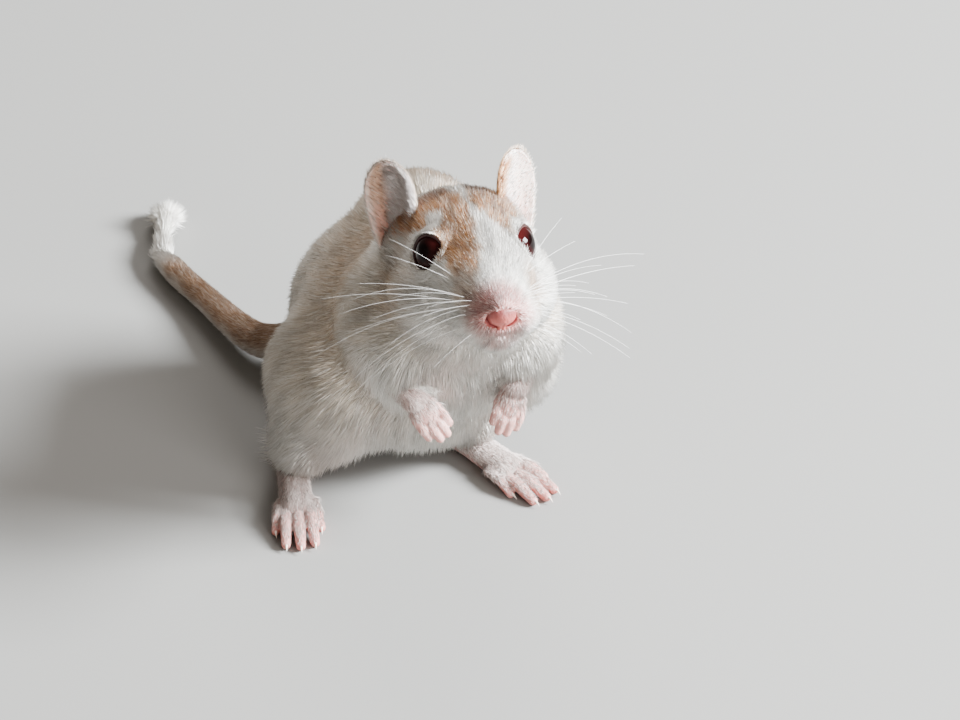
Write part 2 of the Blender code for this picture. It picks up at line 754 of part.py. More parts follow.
def finish(obj, name, colour, roughness=0.8):
    """Names a piece, puts it in the animal's collection and gives it its material."""
    obj.name = name
    obj.data.name = name
    material = bpy.data.materials.new(name)
    material.use_nodes = True
    shader = material.node_tree.nodes["Principled BSDF"]
    shader.inputs["Base Color"].default_value = (*colour, 1)
    shader.inputs["Roughness"].default_value = roughness
    shader.inputs["Metallic"].default_value = 0.0
    obj.data.materials.clear()
    obj.data.materials.append(material)
    for collection in list(obj.users_collection):
        collection.objects.unlink(obj)
    bpy.data.collections["gerbil"].objects.link(obj)


def centre(objects):
    """Moves the whole so that the middle of its footprint is the origin."""
    corners = np.array([vertex.co[:2] for obj in objects for vertex in obj.data.vertices])
    middle = (corners.min(axis=0) + corners.max(axis=0)) / 2
    for obj in objects:
        obj.data.transform(Matrix.Translation((-middle[0], -middle[1], 0)))


def main():
    clear_scene()
    collection = bpy.data.collections.new("gerbil")
    bpy.context.scene.collection.children.link(collection)

    fine = melt(join("flesh", [trunk(), head_block()]), FLESH_VOXEL, 5)
    blend_neck(fine)
    body = thin_out(copy_of(fine, "body"), BODY_KEPT)
    head = thin_out(copy_of(fine, "head"), HEAD_KEPT)
    body_clearance = inflated(body, GAP)

    # Head, neck and torso are parted by two planes
    frame = head_frame()
    nape = frame @ Vector(NAPE_POINT)
    nape_normal = frame.to_3x3() @ Vector(NAPE_NORMAL)
    boolean(head, half_space(nape, nape_normal))
    neck = copy_of(body, "neck")
    boolean(neck, half_space(shifted(nape, nape_normal, GAP), -nape_normal))
    boolean(neck, half_space(COLLAR_POINT, COLLAR_NORMAL))
    torso = copy_of(body, "torso")
    boolean(torso, half_space(shifted(COLLAR_POINT, COLLAR_NORMAL, GAP), -Vector(COLLAR_NORMAL)))

    # Ears stand on the whole head; the head's own openings come after
    for side in (-1, 1):
        finish(ear(side, body_clearance), "ear_" + SIDE_NAMES[side], SKIN_COLOUR)
    boolean(head, mouth_line(head))
    for side in (-1, 1):
        boolean(head, nostril(side))
        boolean(head, eye_socket(side))
        boolean(head, eye_opening(side))
        finish(eyeball(side), "eye_" + SIDE_NAMES[side], EYE_COLOUR, 0.1)
    finish(largest_body(head), "head", COAT_COLOUR)
    finish(largest_body(neck), "neck", COAT_COLOUR)

    # Thighs are plugs of flesh over the hips, and both they and the torso leave room for the feet
    feet_room = {name: foot_clearance(name) for name in HIND_HEELS}
    for side, name in SIDE_NAMES.items():
        thigh = boolean(copy_of(torso, "thigh"), thigh_plug(side, 0), "INTERSECT")
        boolean(torso, thigh_plug(side, GAP))
        for room in feet_room.values():
            boolean(thigh, room, keep_cutter=True)
        finish(largest_body(thigh), "thigh_" + name, COAT_COLOUR)
    for room in feet_room.values():
        boolean(torso, room)
    finish(largest_body(torso), "torso", COAT_COLOUR)
    for name in HIND_HEELS:
        finish(hind_foot(name), "hind_foot_" + name, SKIN_COLOUR)

    for name in FORELIMBS:
        limb, wrist, reach = forelimb(name)
        thin_out(limb, LIMB_KEPT)
        boolean(limb, body_clearance, keep_cutter=True)
        largest_body(limb)
        paw = boolean(copy_of(limb, "paw"), half_space(wrist, -reach))
        boolean(limb, half_space(shifted(wrist, reach, -GAP), reach))
        finish(largest_body(limb), "foreleg_" + name, COAT_COLOUR)
        finish(largest_body(paw), "forepaw_" + name, SKIN_COLOUR)

    tail = mesh_from_curve("tail", tail_curve())
    boolean(tail, body_clearance)
    largest_body(tail)
    floor = half_space((0, 0, 0), (0, 0, -1))
    first, first_way = along_tail(TAIL_ROOT_END)
    second, second_way = along_tail(TAIL_MIDDLE_END)
    root = boolean(copy_of(tail, "root"), half_space(first, first_way))
    middle = boolean(copy_of(tail, "middle"), half_space(shifted(first, first_way, GAP), -first_way))
    boolean(middle, half_space(second, second_way))
    fuse(tail, tuft_locks())
    boolean(tail, half_space(shifted(second, second_way, GAP), -second_way))
    for piece in (root, middle, tail):
        boolean(piece, floor, keep_cutter=True)
    bpy.data.objects.remove(floor)
    finish(largest_body(root), "tail_root", COAT_COLOUR)
    finish(largest_body(middle), "tail_middle", COAT_COLOUR)
    finish(largest_body(tail), "tail_tip", COAT_COLOUR)

    bpy.data.objects.remove(fine)
    bpy.data.objects.remove(body)
    centre(collection.objects)


main()
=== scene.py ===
"""The looks of a life-size gerbil that crouches with its forepaws held up before its chest.

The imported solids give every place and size. One skin takes the place of the solids of flesh, and a
coat of small solid tufts grows on it. Lengths are in millimetres in the animal's own frame, which
is the source's frame before it was centred, and become metres where a mesh is made.
"""

import math
import random

import bmesh
import bpy
import numpy as np
from mathutils import Matrix, Vector
from mathutils.bvhtree import BVHTree


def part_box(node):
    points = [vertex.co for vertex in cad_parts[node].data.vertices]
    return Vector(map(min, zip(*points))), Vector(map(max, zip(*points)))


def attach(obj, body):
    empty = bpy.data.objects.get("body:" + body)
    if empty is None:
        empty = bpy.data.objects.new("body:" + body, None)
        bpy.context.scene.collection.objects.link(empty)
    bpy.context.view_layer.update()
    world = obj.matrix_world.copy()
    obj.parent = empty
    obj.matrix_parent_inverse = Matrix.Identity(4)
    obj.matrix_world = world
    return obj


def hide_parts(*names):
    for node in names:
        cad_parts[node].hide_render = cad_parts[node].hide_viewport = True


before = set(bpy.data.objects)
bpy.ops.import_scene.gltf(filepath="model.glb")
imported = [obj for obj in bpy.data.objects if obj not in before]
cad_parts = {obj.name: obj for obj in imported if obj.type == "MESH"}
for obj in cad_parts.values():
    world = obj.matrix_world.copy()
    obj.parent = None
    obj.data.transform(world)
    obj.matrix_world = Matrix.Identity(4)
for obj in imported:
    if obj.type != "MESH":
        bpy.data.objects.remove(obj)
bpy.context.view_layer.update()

# Where the animal is: its head's frame has its origin between the eyes and its nose towards -Y.
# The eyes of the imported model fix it, and with it the shift from the animal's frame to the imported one.
MM = 0.001
HEAD_PLACE = Vector((0.7, -13.3, 46.8))
HEAD_TURNS = ((-4.0, "Z"), (-18.0, "X"), (1.5, "Y"))
EYE_PLACE = Vector((5.0, -0.4, 0.7))
EYE_RADIUS = 3.2

head_turn = Matrix.Identity(3)
for degrees, axis in HEAD_TURNS:
    head_turn = head_turn @ Matrix.Rotation(math.radians(degrees), 3, axis)
eye_corners = [corner for name in ("eye_left", "eye_right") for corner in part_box(name)]
eye_middle = sum(eye_corners, Vector()) / len(eye_corners) / MM
home = eye_middle - head_turn @ Vector((0, EYE_PLACE.y, EYE_PLACE.z)) - HEAD_PLACE
head_origin = HEAD_PLACE + home


def from_head(point):
    """A point of the head's frame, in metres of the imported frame."""
    return (head_origin + head_turn @ Vector(point)) * MM


def add_object(name, mesh):
    obj = bpy.data.objects.new(name, mesh)
    bpy.context.scene.collection.objects.link(obj)
    return obj


def shade_smooth(mesh):
    mesh.polygons.foreach_set("use_smooth", [True] * len(mesh.polygons))


def applied(obj):
    """The object with its modifiers turned into plain mesh."""
    graph = bpy.context.evaluated_depsgraph_get()
    mesh = bpy.data.meshes.new_from_object(obj.evaluated_get(graph))
    obj.modifiers.clear()
    obj.data = mesh
    shade_smooth(mesh)
    return obj


def mesh_of(name, places, faces):
    mesh = bpy.data.meshes.new(name)
    mesh.from_pydata(places, [], faces)
    return mesh


def add_nodes(tree, table, wires):
    """Adds nodes to a tree, each with its settings and input values, and wires between their sockets."""
    nodes = {"shader": tree.nodes.get("Principled BSDF")}
    for name, kind, settings, inputs in table:
        node = nodes[name] = tree.nodes.new(kind)
        for setting, value in settings.items():
            setattr(node, setting, value)
        for socket, value in inputs.items():
            node.inputs[socket].default_value = value
    for wire in wires:
        (source, out), (target, into) = (end.split(".") for end in wire.split(" > "))
        into = int(into) if into.isdigit() else into
        tree.links.new(nodes[source].outputs[out], nodes[target].inputs[into])
    return nodes


def new_finish(name, looks, table=(), wires=()):
    """A material whose shader has the given looks, with the nodes that lead to it."""
    finish = bpy.data.materials.new(name)
    finish.use_nodes = True
    nodes = add_nodes(finish.node_tree, table, wires)
    for socket, value in looks.items():
        nodes["shader"].inputs[socket].default_value = value
    return finish


# Floor: a plain pale sheet under the animal, far wider than the view.
# It is not a part of the animal.
FLOOR_HALF = 2.0
FLOOR_COLOUR = (0.23, 0.222, 0.21, 1)
FLOOR_ROUGHNESS = 0.9

floor_places = [(x * FLOOR_HALF, y * FLOOR_HALF, 0) for x, y in ((-1, -1), (1, -1), (1, 1), (-1, 1))]
floor_mesh = mesh_of("floor", floor_places, [(0, 1, 2, 3)])
floor_looks = {"Base Color": FLOOR_COLOUR, "Roughness": FLOOR_ROUGHNESS}
floor_mesh.materials.append(new_finish("pale_floor", floor_looks))
floor = add_object("floor", floor_mesh)

# Light: a large soft window to the camera's right, weak lamps in front, at the left and behind, a pale room.
# Each lamp is given by its name, place, size, power and colour.
LAMPS = (
    ("window", (0.72, -0.30, 0.48), (0.30, 0.30), 84.0, (0.91, 0.965, 1.0)),
    ("front", (0.30, -0.85, 0.40), (0.5, 0.5), 10.0, (1.0, 0.98, 0.96)),
    ("fill", (-0.75, -0.45, 0.45), (0.8, 0.8), 0.4, (1.0, 0.90, 0.80)),
    ("back", (0.3, 0.75, 0.7), (0.5, 0.5), 8.0, (1.0, 0.99, 0.97)),
)
ROOM_COLOUR = (1.0, 0.92, 0.83, 1)
ROOM_STRENGTH = 0.27

world = bpy.data.worlds.new("room")
world.use_nodes = True
background = world.node_tree.nodes["Background"]
background.inputs["Color"].default_value = ROOM_COLOUR
background.inputs["Strength"].default_value = ROOM_STRENGTH
bpy.context.scene.world = world
body_middle = Vector((0, 0, 0.025))
for name, place, size, power, colour in LAMPS:
    lamp = bpy.data.lights.new(name, "AREA")
    lamp.shape = "RECTANGLE"
    lamp.size, lamp.size_y = size
    lamp.energy = power
    lamp.color = colour
    holder = add_object(name, lamp)
    holder.location = place
    holder.rotation_euler = (body_middle - holder.location).to_track_quat("-Z", "Y").to_euler()

# Camera: the photograph's own angle, 34 degrees down from a little to the animal's right.
# The lens gives the photograph's frame of 960 by 720.
CAMERA_HEIGHT = 34.0
CAMERA_SIDE = -17.0
CAMERA_DISTANCE = 0.62
CAMERA_AIM = Vector((5.5, 0.0, 20.0))
FOCAL_PIXELS = 4400.0
FRAME_PIXELS = 960.0
SENSOR_WIDTH = 36.0

camera_data = bpy.data.cameras.new("camera")
camera_data.sensor_width = SENSOR_WIDTH
camera_data.lens = SENSOR_WIDTH * FOCAL_PIXELS / FRAME_PIXELS
camera = add_object("camera", camera_data)
rise, side = math.radians(CAMERA_HEIGHT), math.radians(CAMERA_SIDE)
backwards = Vector((math.sin(side) * math.cos(rise), -math.cos(side) * math.cos(rise), math.sin(rise)))
camera.location = (CAMERA_AIM + home) * MM + backwards * CAMERA_DISTANCE
camera.rotation_euler = (-backwards).to_track_quat("-Z", "Y").to_euler()
bpy.context.scene.camera = camera

# Skin: one soft hide over head, neck, trunk, thighs, forearms and tail, so that no seam shows.
# The solids are swelled until they meet, melted together, smoothed, and drawn in by the coat's depth.
FLESH = (
    "torso", "neck", "head", "thigh_left", "thigh_right", "foreleg_left", "foreleg_right",
    "tail_root", "tail_middle",
)
SWELL = 0.2
MERGE_DISTANCE = 0.000002
SKIN_VOXEL = 0.36
CHEST_FUR = (
    # The fur of the chest that hangs over each forearm: middle and half widths
    ((7.3, -10.6, 27.2), (3.9, 3.6, 3.7)),
    ((-8.8, -8.6, 27.5), (3.6, 3.4, 3.6)),
)
TAIL_PATH = (
    (-5.5, 26.0, 10.0), (-8.8, 31.0, 7.4), (-13.0, 33.8, 5.2), (-17.0, 36.4, 3.8),
    (-19.4, 43.5, 2.9), (-21.2, 52.0, 2.4), (-23.4, 59.2, 2.1), (-24.9, 65.0, 2.0),
    (-23.8, 72.0, 1.9), (-21.4, 79.0, 1.8),
)
TAIL_END_RADII = (2.0, 1.95, 1.6, 0.45)
SOFT_ROUNDS = 90
NECK_ROUNDS = 260
TAIL_ROUNDS = 24
EVEN_ROUNDS = 5


def ball_form(segments=16, rings=10):
    """The places and faces of a ball of radius one."""
    bm = bmesh.new()
    bmesh.ops.create_uvsphere(bm, u_segments=segments, v_segments=rings, radius=1)
    places = np.array([vertex.co for vertex in bm.verts])
    faces = [tuple(vertex.index for vertex in face.verts) for face in bm.faces]
    bm.free()
    return places, faces


BALL_PLACES, BALL_FACES = ball_form()


def chain(points, radii, flat=1.0):
    """A tapered limb as a close row of balls along a line of points."""
    balls = []
    for start, end, first, last in zip(points, points[1:], radii, radii[1:]):
        start, end = Vector(start), Vector(end)
        count = max(2, math.ceil((end - start).length / (0.3 * min(first, last))))
        for k in range(count + 1):
            radius = first + (last - first) * k / count
            balls.append((start.lerp(end, k / count), (radius, radius, radius * flat)))
    return balls


def balls_mesh(name, balls, turn=Matrix.Identity(4)):
    """Balls of a frame that turn leads to the animal's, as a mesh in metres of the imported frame."""
    places = np.concatenate([BALL_PLACES * np.array(radii) + np.array(centre) for centre, radii in balls])
    turn = np.array(turn)
    places = (places @ turn[:3, :3].T + turn[:3, 3] + np.array(home)) * MM
    faces = []
    for k in range(len(balls)):
        faces += [tuple(index + k * len(BALL_PLACES) for index in face) for face in BALL_FACES]
    return mesh_of(name, places.tolist(), faces)


def mesh_from(name, bm):
    mesh = bpy.data.meshes.new(name)
    bm.to_mesh(mesh)
    bm.free()
    return mesh


def swelled(node, distance):
    """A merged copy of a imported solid, moved out along its normals."""
    bm = bmesh.new()
    bm.from_mesh(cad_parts[node].data)
    bmesh.ops.remove_doubles(bm, verts=bm.verts, dist=MERGE_DISTANCE)
    bm.normal_update()
    places = [v.co + v.normal * distance * MM for v in bm.verts]
    for vertex, place in zip(bm.verts, places):
        vertex.co = place
    return mesh_from(node + "_copy", bm)


def joined(name, meshes):
    bm = bmesh.new()
    for mesh in meshes:
        bm.from_mesh(mesh)
        bpy.data.meshes.remove(mesh)
    return add_object(name, mesh_from(name, bm))


def melt(obj, voxel):
    """Turns overlapping closed forms into one even surface."""
    remesh = obj.modifiers.new("melt", "REMESH")
    remesh.mode = "VOXEL"
    remesh.voxel_size = voxel * MM
    return applied(obj)


def smooth(obj, rounds, weights=None):
    """Smooths a form, all of it or as far as each vertex's weight says."""
    ease = obj.modifiers.new("smooth", "SMOOTH")
    ease.factor = 0.5
    ease.iterations = rounds
    if weights is not None:
        group = obj.vertex_groups.new(name="soft")
        for index, weight in enumerate(weights):
            group.add([index], float(weight), "REPLACE")
        ease.vertex_group = "soft"
    applied(obj)
    obj.vertex_groups.clear()


def listed(source, key, kind=np.float32, columns=1):
    """The values of every vertex, face or corner of a mesh."""
    values = np.empty(len(source) * columns, kind)
    source.foreach_get(key, values)
    return values


def rows(source, key):
    return listed(source, key, columns=3).reshape(-1, 3).astype(float)


def coordinates(mesh):
    return rows(mesh.vertices, "co")


def place_vertices(mesh, places):
    mesh.vertices.foreach_set("co", np.asarray(places, np.float32).ravel())
    mesh.update()


def normals(mesh):
    return rows(mesh.vertex_normals, "vector")


home_row = np.array(home)
turn_rows = np.array(head_turn)
head_row = np.array(head_origin)


def in_animal(mesh):
    """A mesh's places in the animal's frame, in millimetres."""
    return coordinates(mesh) / MM - home_row


def to_head(places):
    """Places of the animal's frame in the head's frame."""
    return (places - np.array(HEAD_PLACE)) @ turn_rows


def step(low, high, values):
    """0 below low, 1 above high and a soft rise between them."""
    share = np.clip((values - low) / (high - low), 0, 1)
    return share * share * (3 - 2 * share)


def unit(vectors):
    return vectors / np.maximum(np.linalg.norm(vectors, axis=-1, keepdims=True), 1e-9)


def near_path(places, path):
    """Distance of each place to a line of points, the share along it and its direction there."""
    path = np.array(path, float)
    lengths = np.linalg.norm(np.diff(path, axis=0), axis=1)
    reached = np.concatenate(([0], np.cumsum(lengths)))
    best = np.full(len(places), np.inf)
    share, way = np.zeros(len(places)), np.zeros((len(places), places.shape[1]))
    for k, length in enumerate(lengths):
        along = (path[k + 1] - path[k]) / length
        t = np.clip((places - path[k]) @ along, 0, length)
        distance = np.linalg.norm(places - path[k] - t[:, None] * along, axis=1)
        closer = distance < best
        best[closer] = distance[closer]
        share[closer] = (reached[k] + t[closer]) / reached[-1]
        way[closer] = along
    return best, share, way


flesh = [swelled(node, SWELL) for node in FLESH]
flesh.append(balls_mesh("tail_end", chain(TAIL_PATH[-4:], TAIL_END_RADII)))
flesh.append(balls_mesh("chest_fur", CHEST_FUR))
skin = joined("skin", flesh)
melt(skin, SKIN_VOXEL)

# Facets of the trunk are smoothed away, while the face keeps its form
place = in_animal(skin.data)
in_head = to_head(place)
aside = np.abs(in_head[:, 0])
cheek_back = step(6.5, 9.5, aside) * step(-5, 0, in_head[:, 1])
face = (1 - step(3, 10, in_head[:, 1])) * step(-12, -8, in_head[:, 2]) * (1 - cheek_back)
for side in (-1, 1):
    eye_far = np.linalg.norm(in_head - np.array((side * EYE_PLACE.x, EYE_PLACE.y, EYE_PLACE.z)), axis=1)
    face *= 1 - 0.4 * step(3.6, 4.4, eye_far) * (1 - step(5.0, 7.0, eye_far))
neck = step(3, 7, in_head[:, 1]) * (1 - step(24, 32, in_head[:, 1])) * step(18, 24, place[:, 2])
jaw = step(7.5, 10, aside) * step(0, 4, in_head[:, 1]) * (neck < 1) * step(-12, -9, in_head[:, 2])
smooth(skin, SOFT_ROUNDS, 1 - 0.92 * face)
smooth(skin, NECK_ROUNDS, np.maximum(neck, jaw))
smooth(skin, TAIL_ROUNDS, step(30, 36, place[:, 1]) * (1 - step(55, 62, place[:, 1])))
smooth(skin, EVEN_ROUNDS)
place_vertices(skin.data, coordinates(skin.data) - normals(skin.data) * SWELL * MM)

# Lids: the skin round each eye closes in on the ball and rises in one soft fold.
# The hide between lids and brow is then smoothed.
LID_CLOSE = 0.86
LID_REACH = 2.5
LID_CLEARANCE = 0.28
LID_FADE = (4.1, 5.6)
LID_SMOOTHING = 16
# Where the fold is highest, its width and its height
LID_FOLD = (1.32, 0.14, 0.22)
EYE_GAZE_SIDE = 57.0
EYE_GAZE_UP = 15.0
EYE_OPENING = (3.1, 2.7)
EYE_OPENING_POWER = 1.8
EYE_OPENING_TILT = 25.0
SIDES = {"right": -1, "left": 1}


def eye_axes(side):
    """An eye's middle, its gaze and the long and short ways across its opening, in the head's frame."""
    out, up = math.radians(EYE_GAZE_SIDE), math.radians(EYE_GAZE_UP)
    gaze = Vector((side * math.sin(out) * math.cos(up), -math.cos(out) * math.cos(up), math.sin(up)))
    level = gaze.cross(Vector((0, 0, 1))).normalized()
    tilt = Matrix.Rotation(math.radians(-side * EYE_OPENING_TILT), 3, gaze)
    middle = Vector((side * EYE_PLACE.x, EYE_PLACE.y, EYE_PLACE.z))
    return [np.array(part) for part in (middle, gaze, tilt @ level, tilt @ level.cross(gaze))]


def eye_reach(points, side):
    """Offset from an eye's middle, reach across its opening, where 1 is its edge, and distance ahead."""
    middle, gaze, level, rise = eye_axes(side)
    offset = points - middle
    across, high = np.abs(offset @ level / EYE_OPENING[0]), np.abs(offset @ rise / EYE_OPENING[1])
    reach = (across ** EYE_OPENING_POWER + high ** EYE_OPENING_POWER) ** (1 / EYE_OPENING_POWER)
    return offset, reach, offset @ gaze


points = to_head(in_animal(skin.data))
for side in SIDES.values():
    gaze = eye_axes(side)[1]
    offset, reach, ahead = eye_reach(points, side)
    near = 1 - step(*LID_FADE, np.linalg.norm(offset, axis=1))
    shut = near * (1 - step(1.15, LID_REACH, reach)) * (reach > 0.9) * step(0.0, 0.8, ahead)
    closer = 1 - (1 - LID_CLOSE) * shut
    aside = offset - ahead[:, None] * gaze
    moved = ahead[:, None] * gaze + aside * closer[:, None]
    far = np.linalg.norm(moved, axis=1)
    fold = LID_FOLD[2] * np.exp(-((reach - LID_FOLD[0]) / LID_FOLD[1]) ** 2) * near
    wanted = far + np.maximum(EYE_RADIUS + LID_CLEARANCE - far, 0) * shut + fold
    points += moved * (wanted / np.maximum(far, 0.1))[:, None] - offset
place_vertices(skin.data, (points @ turn_rows.T + np.array(HEAD_PLACE) + home_row) * MM)
smooth(skin, 1)
round_eyes = np.zeros(len(points))
for side in SIDES.values():
    offset, reach, ahead = eye_reach(points, side)
    near = (1 - step(4.6, 6.4, np.linalg.norm(offset, axis=1))) * step(-0.6, 0.4, ahead)
    round_eyes = np.maximum(round_eyes, near * step(1.0, 1.35, reach / LID_CLOSE))
smooth(skin, LID_SMOOTHING, round_eyes)

# Coat plan: where each colour of hair grows, how long and wide it is and which way it lies.
# Hair flows away from the nose, then away from the head, and along tail and arms.
WHITE = (0.91, 0.87, 0.81)
CREAM = (0.74, 0.60, 0.44)
GINGER = (0.60, 0.265, 0.05)
DARK_GINGER = (0.20, 0.085, 0.035)
DARK_TAIL = (0.40, 0.185, 0.05)
# Tan of the painted shade behind the right cheek
CHEEK_SHADE_TAN = (0.66, 0.44, 0.26)
PINK = (0.72, 0.30, 0.25)
RED_PINK = (0.62, 0.14, 0.11)
LID_BROWN = (0.035, 0.012, 0.010)
NOSE_BLUSH = (0.62, 0.27, 0.24)
NOSE_TIP = np.array((0.0, -17.0, -4.0))
HEAD_SOURCE = np.array((0.0, -23.0, -3.0))
BODY_SOURCE = np.array((0.7, -16.0, 50.0))
NOSE_BARE = ((0.0, -16.2, -5.1), (2.85, 2.0, 2.0))
TUFT_START, TUFT_FULL = 0.72, 0.78
CHEST_FRINGE = ((-8.8, -8.5, 25.5), (8.4, -9.8, 25.3))
CHEST_FRINGE_RADII = (5.0, 6.0, 4.6)
HANGING = (0.0, -0.35, -0.94)
# Spots on the head: middle and half widths
CROWN_MARKS = (((-4.2, 7.1, 6.6), (3.0, 2.5, 3.4)), ((2.6, 7.9, 6.9), (1.9, 1.8, 3.2)))
NOSE_SIDE_MARK = ((-3.3, -12.2, -1.9), (1.7, 3.2, 1.9))
WHITE_SPOT = ((-5.3, 0.2, 4.8), (1.5, 2.2, 2.2))
MUZZLE_PATCH = ((5.8, -9.0, -4.0), (2.4, 4.6, 3.4))
WHISKER_PATCH = ((-3.6, -12.6, -2.2), (1.6, 2.6, 1.8))
# Painted warm shade behind the right cheek, which lies away from the window
CHEEK_SHADE_PATCH = ((-10.0, 2.5, -5.5), (4.0, 4.5, 4.5))
LIP_BLUSH = ((0.0, -14.4, -7.6), (2.6, 2.6, 1.7))
STREAK_SPREAD = 60.0
STREAK_DRIFT = 0.4
DARK_ROOTS = 0.4
ARMS = {
    # Elbow, wrist and fingertips
    "right": ((-10.5, -5.0, 25.0), (-7.2, -11.2, 23.0), (-4.2, -14.4, 18.6)),
    "left": ((11.2, -6.5, 24.8), (6.7, -12.2, 22.9), (4.2, -14.6, 17.1)),
}


def eye_rim(points):
    """How far points of the head's frame lie from an eye, where 1 is its rim, and the way out of it."""
    nearest, outward = np.full(len(points), 9.0), np.zeros((len(points), 3))
    for side in SIDES.values():
        offset, reach, ahead = eye_reach(points, side)
        near = 1 - step(4.8, 7.5, np.linalg.norm(offset, axis=1))
        reach = 9.0 + (reach / LID_CLOSE - 9.0) * near
        closer = reach < nearest
        nearest[closer] = reach[closer]
        outward[closer] = (offset - ahead[:, None] * eye_axes(side)[1])[closer]
    return nearest, unit(outward)


def soft_noise(places, scale, seed):
    """A smooth wandering value between about -1 and 1, from a few crossed waves."""
    draw = np.random.default_rng(seed)
    total = np.zeros(len(places))
    for _ in range(6):
        way = draw.normal(size=3)
        total += np.sin(places @ way * scale + draw.uniform(0, 6.28))
    return total / 3


def spot(points, centre, radii, edge=0.35):
    """1 inside an oval, with a soft edge."""
    reach = np.linalg.norm((points - np.array(centre)) / np.array(radii), axis=1)
    return 1 - step(1 - edge, 1 + edge, reach)


def streaks(points, source, seed):
    """A value between about -1 and 1 that changes quickly across the hair and slowly along it."""
    return soft_noise(unit(points - source) * STREAK_SPREAD + STREAK_DRIFT * points, 1.0, seed)


def between(values, low, high, soft=0.8):
    return step(low - soft, low + soft, values) * (1 - step(high - soft, high + soft, values))


def evenly(colour, points):
    """One colour or direction, repeated for every point."""
    return np.tile(colour, (len(points), 1))


def mixed(colours, other, share):
    return colours + (np.array(other) - colours) * share[:, None]


def laid(ways, ups):
    """Directions turned flat onto a skin whose way out is given."""
    return unit(ways - ups * (ways * ups).sum(axis=1, keepdims=True))


def head_markings(points):
    """Share of ginger on the head: two patches beside a white blaze, less a white spot over one eye."""
    wander = np.stack([0.4 * soft_noise(points, 0.9, seed) for seed in (3, 4, 5)], axis=1)
    wander += 0.55 * streaks(points, HEAD_SOURCE, 13)[:, None] * np.array((1.0, 0.6, 0.4))
    x, y, z = (points + wander).T
    blaze_right = np.interp(y, (-14, -12, -9, -5, -1, 4, 8), (-2.6, -2.2, -1.2, -0.2, -0.4, -0.8, -1.8))
    blaze_left = np.interp(y, (-5, -2, 2, 5, 9), (3.5, 2.0, 0.2, 0.9, 1.9))
    outer_right = np.interp(y, (-14, -10, -7, -4, 0, 3, 6), (-3.0, -4.4, -5.0, -4.9, -6.2, -7.6, -9.0))
    outer_left = np.interp(y, (-5, -2, 2, 5, 9), (4.1, 5.2, 6.4, 7.1, 7.8))
    right = between(x, outer_right, blaze_right, 0.5) * step(-14.5, -11.5, y) * (1 - step(8.2, 9.8, y))
    left = between(x, blaze_left, outer_left, 0.5) * step(-5.5, -3.0, y) * (1 - step(9.0, 10.6, y))
    upper = step(-1.5, 1.0, z)
    share = np.maximum(right * upper, left * upper) * (1 - spot(points, *WHITE_SPOT, 0.25))
    share *= 1 - (0.4 - 0.25 * step(0, 2, x)) * step(0.3, 1.0, streaks(points, HEAD_SOURCE, 17))
    cheek = 0.6 * spot(points, *MUZZLE_PATCH, 0.6)
    pad = 0.35 * spot(points, *WHISKER_PATCH, 0.5)
    return np.maximum.reduce([share, cheek, pad])


def crown_marks(points):
    """Share of dark brown at the back of the crown and beside the nose."""
    right, left = (spot(points, *mark) for mark in CROWN_MARKS)
    side = 0.65 * spot(points, *NOSE_SIDE_MARK, 0.5) * step(-0.2, 0.6, streaks(points, HEAD_SOURCE, 41))
    return np.maximum(np.maximum(right, left), side)


